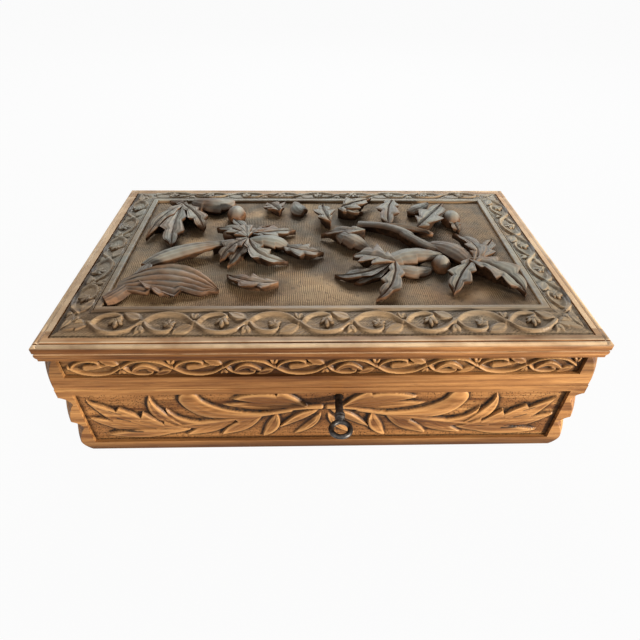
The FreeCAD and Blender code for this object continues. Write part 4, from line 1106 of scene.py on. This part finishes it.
def leaf_relief(kind, t, s, half, width, share, seed):
    # How far the face lies above or below the line, and how deep the gouge went
    a = np.abs(s)
    streaks = 0.5 - 0.5 * np.cos(2 * np.pi * (3.0 * a + 0.15 * seed))
    if kind == "stem":
        return -width / 2 * (1 - np.sqrt(np.clip(1 - 0.94 * s * s, 0, 1))), 0.4 * streaks
    if kind == "plume":
        flutes = (0.5 - 0.5 * np.cos(2 * np.pi * (2.5 * s + 1.1 * t))) ** 2
        return 0.34 * half * s, 0.8 * flutes * soft(t / 0.15)
    if kind in ("shell", "blade"):
        return -0.55 * half * s * s, 0.22 * streaks + 0.5 * np.exp(-(s / 0.07) ** 2) * (kind == "blade")
    veins = np.exp(-(np.minimum(share, 1 - share) / 0.10) ** 2) * np.clip(a * 1.3, 0, 1)
    groove = 0.4 * np.exp(-(s / 0.06) ** 2) * (t < 0.95) + 0.4 * veins + 0.25 * streaks * soft(t / 0.2)
    return 0.05 * width * np.sin(np.pi * a ** 0.8) + 0.06 * width * a, groove


print("half widths along a leaf", leaf_outline("leaf", np.linspace(0, 1, 9), 1.0, 12, 0)[0].round(1))

# %% Leaf and nut shells


def leaf_shell(kind, foot, mid, tip, width, seed):
    nu, nv = (30, 13) if kind == "stem" else (64, 25)
    t = np.linspace(0, 1, nu)[:, None]
    s = np.linspace(-1, 1, nv)[None, :] + 0 * t
    a = np.abs(s)
    p0, p1, p2 = (np.array(p, float) for p in (foot, mid, tip))
    spine = curve_through(p0, p1, p2, nu)[:, None, :]
    d = (4 * t - 3) * p0 + (4 - 8 * t) * p1 + (4 * t - 1) * p2
    d = (d[:, :2] / np.linalg.norm(d[:, :2], axis=-1, keepdims=True))[:, None, :]
    n = np.stack([-d[..., 1], d[..., 0]], -1)
    half, lean, share = leaf_outline(kind, t, s, width, seed)
    xy = spine[..., :2] + n * (half * s)[..., None] + d * (lean * half * a ** 2 * (1 - t))[..., None]
    rise, groove = leaf_relief(kind, t, s, half, width, share, seed)
    ripple = 0.12 * np.sin(xy[..., 0] * 0.7 + seed) * np.sin(xy[..., 1] * 0.8 + 1.7 * seed)
    z = np.maximum(spine[..., 2] + rise - groove + ripple, 1.2)
    thick, free_tip = (0.6, 0.0) if kind == "stem" else (2.1, 0.85)
    lift = np.maximum(soft((a - 0.25) / 0.55), soft((t - 0.6) / 0.35) * free_tip)
    low_z = np.minimum(np.maximum(np.maximum(z - thick, 0.25) * lift, 0.25), z - 0.5)
    inner = xy - n * (0.16 * half * s)[..., None]
    top = np.concatenate([xy, (FIELD_Z + z)[..., None]], -1).reshape(-1, 3)
    low = np.concatenate([inner, (FIELD_Z + low_z)[..., None]], -1).reshape(-1, 3)
    count = nu * nv
    ring = rim_of(nu, nv)
    under = [quad[::-1] for quad in grid_faces(nu, nv, count)]
    faces = grid_faces(nu, nv) + under + skirt(ring, [k + count for k in ring])
    # Darkened in the grooves, low near the field, at the rim and on the underside: painted shade, with dirt
    # in the grooves
    shade_and_grime = np.maximum(np.clip(groove * 0.95, 0, 0.6), 0.4 * soft((2.6 - z) / 2.0))
    shade_and_grime = np.maximum(shade_and_grime, 0.5 * ((a > 0.95) | (t > 0.98))).reshape(-1)
    # Edges lightened: wear and a painted highlight
    worn_and_highlit = (soft((a - 0.72) / 0.28) * 0.4 * (kind != "stem")).reshape(-1)
    return (np.vstack([top, low]), faces, np.concatenate([shade_and_grime, np.full(count, 0.9)]),
            np.concatenate([worn_and_highlit, np.zeros(count)]))


def nut_shell(centre, rx, ry, seed):
    nu, nv = 28, 15
    a = np.linspace(0, 2 * np.pi, nu, endpoint=False)[:, None]
    b = np.linspace(-0.48 * np.pi, 0.49 * np.pi, nv)[None, :]
    ridge = 1 + 0.03 * np.cos(6 * a + seed)
    x = centre[0] + rx * np.cos(b) * np.cos(a) * ridge
    y = centre[1] + ry * np.cos(b) * np.sin(a) * ridge
    z = FIELD_Z + np.maximum(centre[2] + rx * np.sin(b), 0.1) + 0 * a
    verts = np.stack([x, y, z], -1).reshape(-1, 3)
    # Darker on the lower half: painted shade
    shade_and_grime = np.clip(0.95 - (np.sin(b) + 0.9) * 0.55, 0, 1) + 0 * a
    return verts, loop_faces(nu, nv), shade_and_grime.reshape(-1), np.zeros(nu * nv)


print("points in a nut", len(nut_shell(*NUTS_LEFT[0], seed=0)[0]))

# %% Both sprays
LEAF_CRISP = 48.0


def spray(name, leaves, nuts, node):
    shells = [leaf_shell(*line, seed=i) for i, line in enumerate(leaves)]
    shells += [nut_shell(*nut, seed=i) for i, nut in enumerate(nuts)]
    verts, faces, shade_and_grime, worn_and_highlit = zip(*shells)
    joined = []
    count = 0
    for points, quads in zip(verts, faces):
        joined += [[count + k for k in quad] for quad in quads]
        count += len(points)
    values = {"shade_and_grime": np.concatenate(shade_and_grime), "worn_and_highlit": np.concatenate(worn_and_highlit)}
    obj = new_piece(name, np.vstack(verts), joined, "lid", finish["leaf"], values,
                    crisp=LEAF_CRISP)
    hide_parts(node)
    return obj


for name, leaves, nuts, node in (("spray_left", SPRAY_LEFT, NUTS_LEFT, "carved_spray_left"),
                                 ("spray_right", SPRAY_RIGHT, NUTS_RIGHT, "carved_spray_right")):
    print(name, len(spray(name, leaves, nuts, node).data.polygons))

# %% [markdown]
# ## The key
# A small blackened key: a drilled pipe, a collar, a round ring for a bow and a square bit. The pipe is
# turned from a profile, and the ring is a loop swept round a circle, because that is how the real ones are
# forged. Small bevels catch the light.

# %% Blackened iron, brass and steel


def iron(name, colour, pale, rough):
    mat, tree, shader, spot = new_material(name)
    coords = spot.outputs["Object"]
    grain = noise(tree, coords, 420.0, 5.0)
    blot = noise(tree, coords, 90.0, 2.0, 0.5)
    clean = ramp(tree, grain, [(0.35, colour), (0.75, pale)])
    stain = ramp(tree, blot, [(0.3, srgb(140, 130, 120)), (0.7, WHITE)])
    fill_in(tree, shader, Base_Color=mixed(tree, 0.6, clean, stain, "MULTIPLY"), Metallic=1.0,
            Roughness=span(tree, blot, 0.0, 1.0, rough - 0.1, rough + 0.15),
            Normal=bumps(tree, grain, 0.25, 0.0002))
    return mat


black_iron = iron("iron_black", srgb(58, 55, 54), srgb(112, 108, 105), 0.45)
old_brass = iron("brass_aged", srgb(150, 118, 62), srgb(206, 172, 104), 0.35)
dull_steel = iron("steel_dull", srgb(120, 116, 112), srgb(172, 168, 164), 0.4)
print("metals", black_iron.name, old_brass.name, dull_steel.name)

# %% The key
# y and radius along the pipe, from its open end to the bow
PIPE = [(-85.4, 1.2), (-85.4, 2.1), (-97.0, 2.1), (-98.0, 2.3), (-105.0, 2.2), (-106.0, 2.9), (-107.4, 3.0),
        (-108.2, 2.6), (-109.2, 2.8), (-110.2, 2.1), (-111.6, 1.9), (-112.2, 0.4)]
PIPE_AROUND = 28
BOW_Y, BOW_R, BOW_SQUASH = -116.8, 5.2, 0.98
WIRE_WIDE, WIRE_HIGH = 1.5, 1.35
BOW_AROUND, WIRE_AROUND = 56, 16
BIT_X, BIT_Y, BIT_Z = (-5.2, -1.6), (-89.05, -85.65), (-1.0, 1.0)
BOX_FACES = ((0, 1, 3, 2), (4, 6, 7, 5), (0, 4, 5, 1), (2, 3, 7, 6), (0, 2, 6, 4), (1, 5, 7, 3))
KEY_BEVEL, KEY_EDGE = 0.00015, 30.0


def soften(obj, width, degrees):
    edge = obj.modifiers.new("soft_edges", "BEVEL")
    edge.width = width
    edge.segments = 2
    edge.limit_method = "ANGLE"
    edge.angle_limit = math.radians(degrees)


def key_piece():
    verts = []
    for k in range(PIPE_AROUND):
        a = 2 * math.pi * k / PIPE_AROUND
        verts += [(KEY_X + r * math.cos(a), y, KEY_Z + r * math.sin(a)) for y, r in PIPE]
    faces = loop_faces(PIPE_AROUND, len(PIPE))
    faces += loop_faces(BOW_AROUND, WIRE_AROUND, len(verts), ring=True)
    for i in range(BOW_AROUND):
        a = 2 * math.pi * i / BOW_AROUND
        for j in range(WIRE_AROUND):
            b = 2 * math.pi * j / WIRE_AROUND
            r = BOW_R + WIRE_WIDE * math.cos(b)
            y = BOW_Y + BOW_SQUASH * r * math.sin(a)
            verts.append((KEY_X + r * math.cos(a), y, KEY_Z + WIRE_HIGH * math.sin(b)))
    faces += [[len(verts) + k for k in face] for face in BOX_FACES]
    verts += [(KEY_X + x, y, KEY_Z + z) for x in BIT_X for y in BIT_Y for z in BIT_Z]
    obj = new_piece("key_iron", verts, faces, "key", black_iron)
    soften(obj, KEY_BEVEL, KEY_EDGE)
    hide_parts("key")
    return obj


key = key_piece()
print("key", len(key.data.polygons))

# %% [markdown]
# ## Velvet
# The inside is lined with worn crimson velvet: a pad on the bottom and in the lid, and thin pads on the
# walls. Linings as thin as these hardly crown, so a formula makes them in place of a cloth simulation. Each
# is a closed form, full in the middle and pulled in at its edge.

# %% Velvet pads
PAD_COLUMNS, PAD_ROWS = 56, 36
PAD_BACK = 0.02


def velvet():
    mat, tree, shader, spot = new_material("velvet_crimson")
    coords = spot.outputs["Object"]
    pile = noise(tree, coords, 1900.0, 2.0, 0.5)
    brushed = noise(tree, coords, 26.0, 4.0, 0.5, 1.2)
    colour = ramp(tree, brushed, [(0.32, srgb(74, 12, 18)), (0.7, srgb(128, 28, 36))])
    fleck = ramp(tree, pile, [(0.3, srgb(170, 150, 150)), (0.7, WHITE)])
    fill_in(tree, shader, Base_Color=mixed(tree, 0.6, colour, fleck, "MULTIPLY"), Roughness=0.9,
            Sheen_Weight=0.7, Sheen_Roughness=0.4, Sheen_Tint=srgb(230, 120, 125),
            Normal=bumps(tree, pile, 0.4, 0.0003))
    return mat


def outward(obj):
    work = bmesh.new()
    work.from_mesh(obj.data)
    bmesh.ops.recalc_face_normals(work, faces=work.faces)
    work.to_mesh(obj.data)
    work.free()


def pad(name, node, body, thin, sign):
    # thin is the axis through the pad, sign the way its full face looks
    lo, hi = (np.array(c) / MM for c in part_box(node))
    columns, rows = np.linspace(-1, 1, PAD_COLUMNS), np.linspace(-1, 1, PAD_ROWS)
    a, b = np.meshgrid(columns, rows, indexing="ij")
    crown = (1 - a ** 6) * (1 - b ** 6)
    slack = 0.06 * np.sin(a * 9 + b * 4) * np.sin(b * 7 - a * 3) * crown
    face = np.zeros((PAD_COLUMNS, PAD_ROWS, 3))
    for k, q in zip([k for k in range(3) if k != thin], (a, b)):
        face[..., k] = (lo[k] + hi[k]) / 2 + q * (hi[k] - lo[k]) / 2
    rear = face.copy()
    back = lo[thin] if sign > 0 else hi[thin]
    full = np.clip(0.35 + 0.62 * crown ** 0.35 + slack, 0.05, 1.0)
    face[..., thin] = back + sign * (hi[thin] - lo[thin]) * full
    rear[..., thin] = back + sign * PAD_BACK
    ring, faces = closed_sheet(PAD_COLUMNS, PAD_ROWS)
    verts = np.vstack([face.reshape(-1, 3), rear.reshape(-1, 3)[ring]])
    obj = new_piece(name, verts, faces, body, crimson)
    outward(obj)
    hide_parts(node)
    return obj


crimson = velvet()
for name, node, body, thin, sign in (("velvet_bottom", "lining_bottom", "base", 2, 1),
                                     ("velvet_lid", "lid_lining", "lid", 2, -1),
                                     ("velvet_back", "lining_back", "base", 1, -1),
                                     ("velvet_left", "lining_left", "base", 0, 1),
                                     ("velvet_right", "lining_right", "base", 0, -1)):
    print(name, len(pad(name, node, body, thin, sign).data.polygons))

# %% [markdown]
# The front lining is cut away round the lock plate, so it is made as one outline with the notch.

# %% Front lining
NOTCH_HALF, NOTCH_DEPTH = 31.0, 11.0
LINING_COLUMNS, LINING_ROWS = 140, 24
LINING_THICK = 0.0006


def front_lining():
    lo, hi = (np.array(c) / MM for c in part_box("lining_front"))
    notch0, notch1, notch_z = KEY_X - NOTCH_HALF, KEY_X + NOTCH_HALF, KEY_Z - NOTCH_DEPTH
    verts, faces = [], []
    xs = np.linspace(lo[0], hi[0], LINING_COLUMNS)
    for edge in (notch0, notch1):
        xs[np.abs(xs - edge).argmin()] = edge
    left = [x for x in xs if x <= notch0]
    middle = [x for x in xs if notch0 <= x <= notch1]
    right = [x for x in xs if x >= notch1]
    for block, high in ((left, hi[2]), (middle, notch_z), (right, hi[2])):
        faces += grid_faces(len(block), LINING_ROWS, len(verts))
        for x in block:
            for z in np.linspace(lo[2], high, LINING_ROWS):
                away = min(x - lo[0], hi[0] - x, z - lo[2], hi[2] - z)
                away = min(away, abs(high - z)) if block is middle else away
                full = 0.45 + 0.5 * (1 - math.exp(-away / 1.5))
                verts.append((x, lo[1] + (hi[1] - lo[1]) * full, z))
    obj = new_piece("velvet_front", verts, faces, "base", crimson)
    solid = obj.modifiers.new("backing", "SOLIDIFY")
    solid.thickness = LINING_THICK
    solid.offset = -1.0
    outward(obj)
    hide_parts("lining_front")
    return obj


front_pad = front_lining()
print("front lining", len(front_pad.data.polygons))

# %% [markdown]
# ## Boards and metal from the frame
# The boards, rails, hinges and lock keep their own meshes and only get a finish. Welded edges let a small
# bevel round the arrises, as years of handling do.

# %% Finishes on the frame's own pieces
STEEL = ("hinge_pin", "lock_bolt", "lock_spring", "lock_drill")
WELD_REACH, FLAT_ANGLE = 0.000005, 1.0
BOARD_BEVEL, BOARD_EDGE = 0.0005, 35.0


def board_finish(name):
    at_end = name.endswith(("left", "right"))
    if name.startswith("lid_rail"):
        return finish["rail_y" if at_end else "rail_x"]
    if name == "lid_panel":
        return finish["top"]
    if name == "base_bottom":
        return finish["plain"]
    if name.startswith(("base_", "lid_")):
        return finish["side" if at_end else "front"]
    if "screws" in name or name.startswith(STEEL):
        return dull_steel
    return old_brass


for name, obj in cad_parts.items():
    material = board_finish(name)
    obj.data.materials.clear()
    obj.data.materials.append(material)
    if material in finish.values():
        weld = obj.modifiers.new("weld", "WELD")
        weld.merge_threshold = WELD_REACH
        flat = obj.modifiers.new("flat", "DECIMATE")
        flat.decimate_type = "DISSOLVE"
        flat.angle_limit = math.radians(FLAT_ANGLE)
        soften(obj, BOARD_BEVEL, BOARD_EDGE)
print("finished", len(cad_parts))
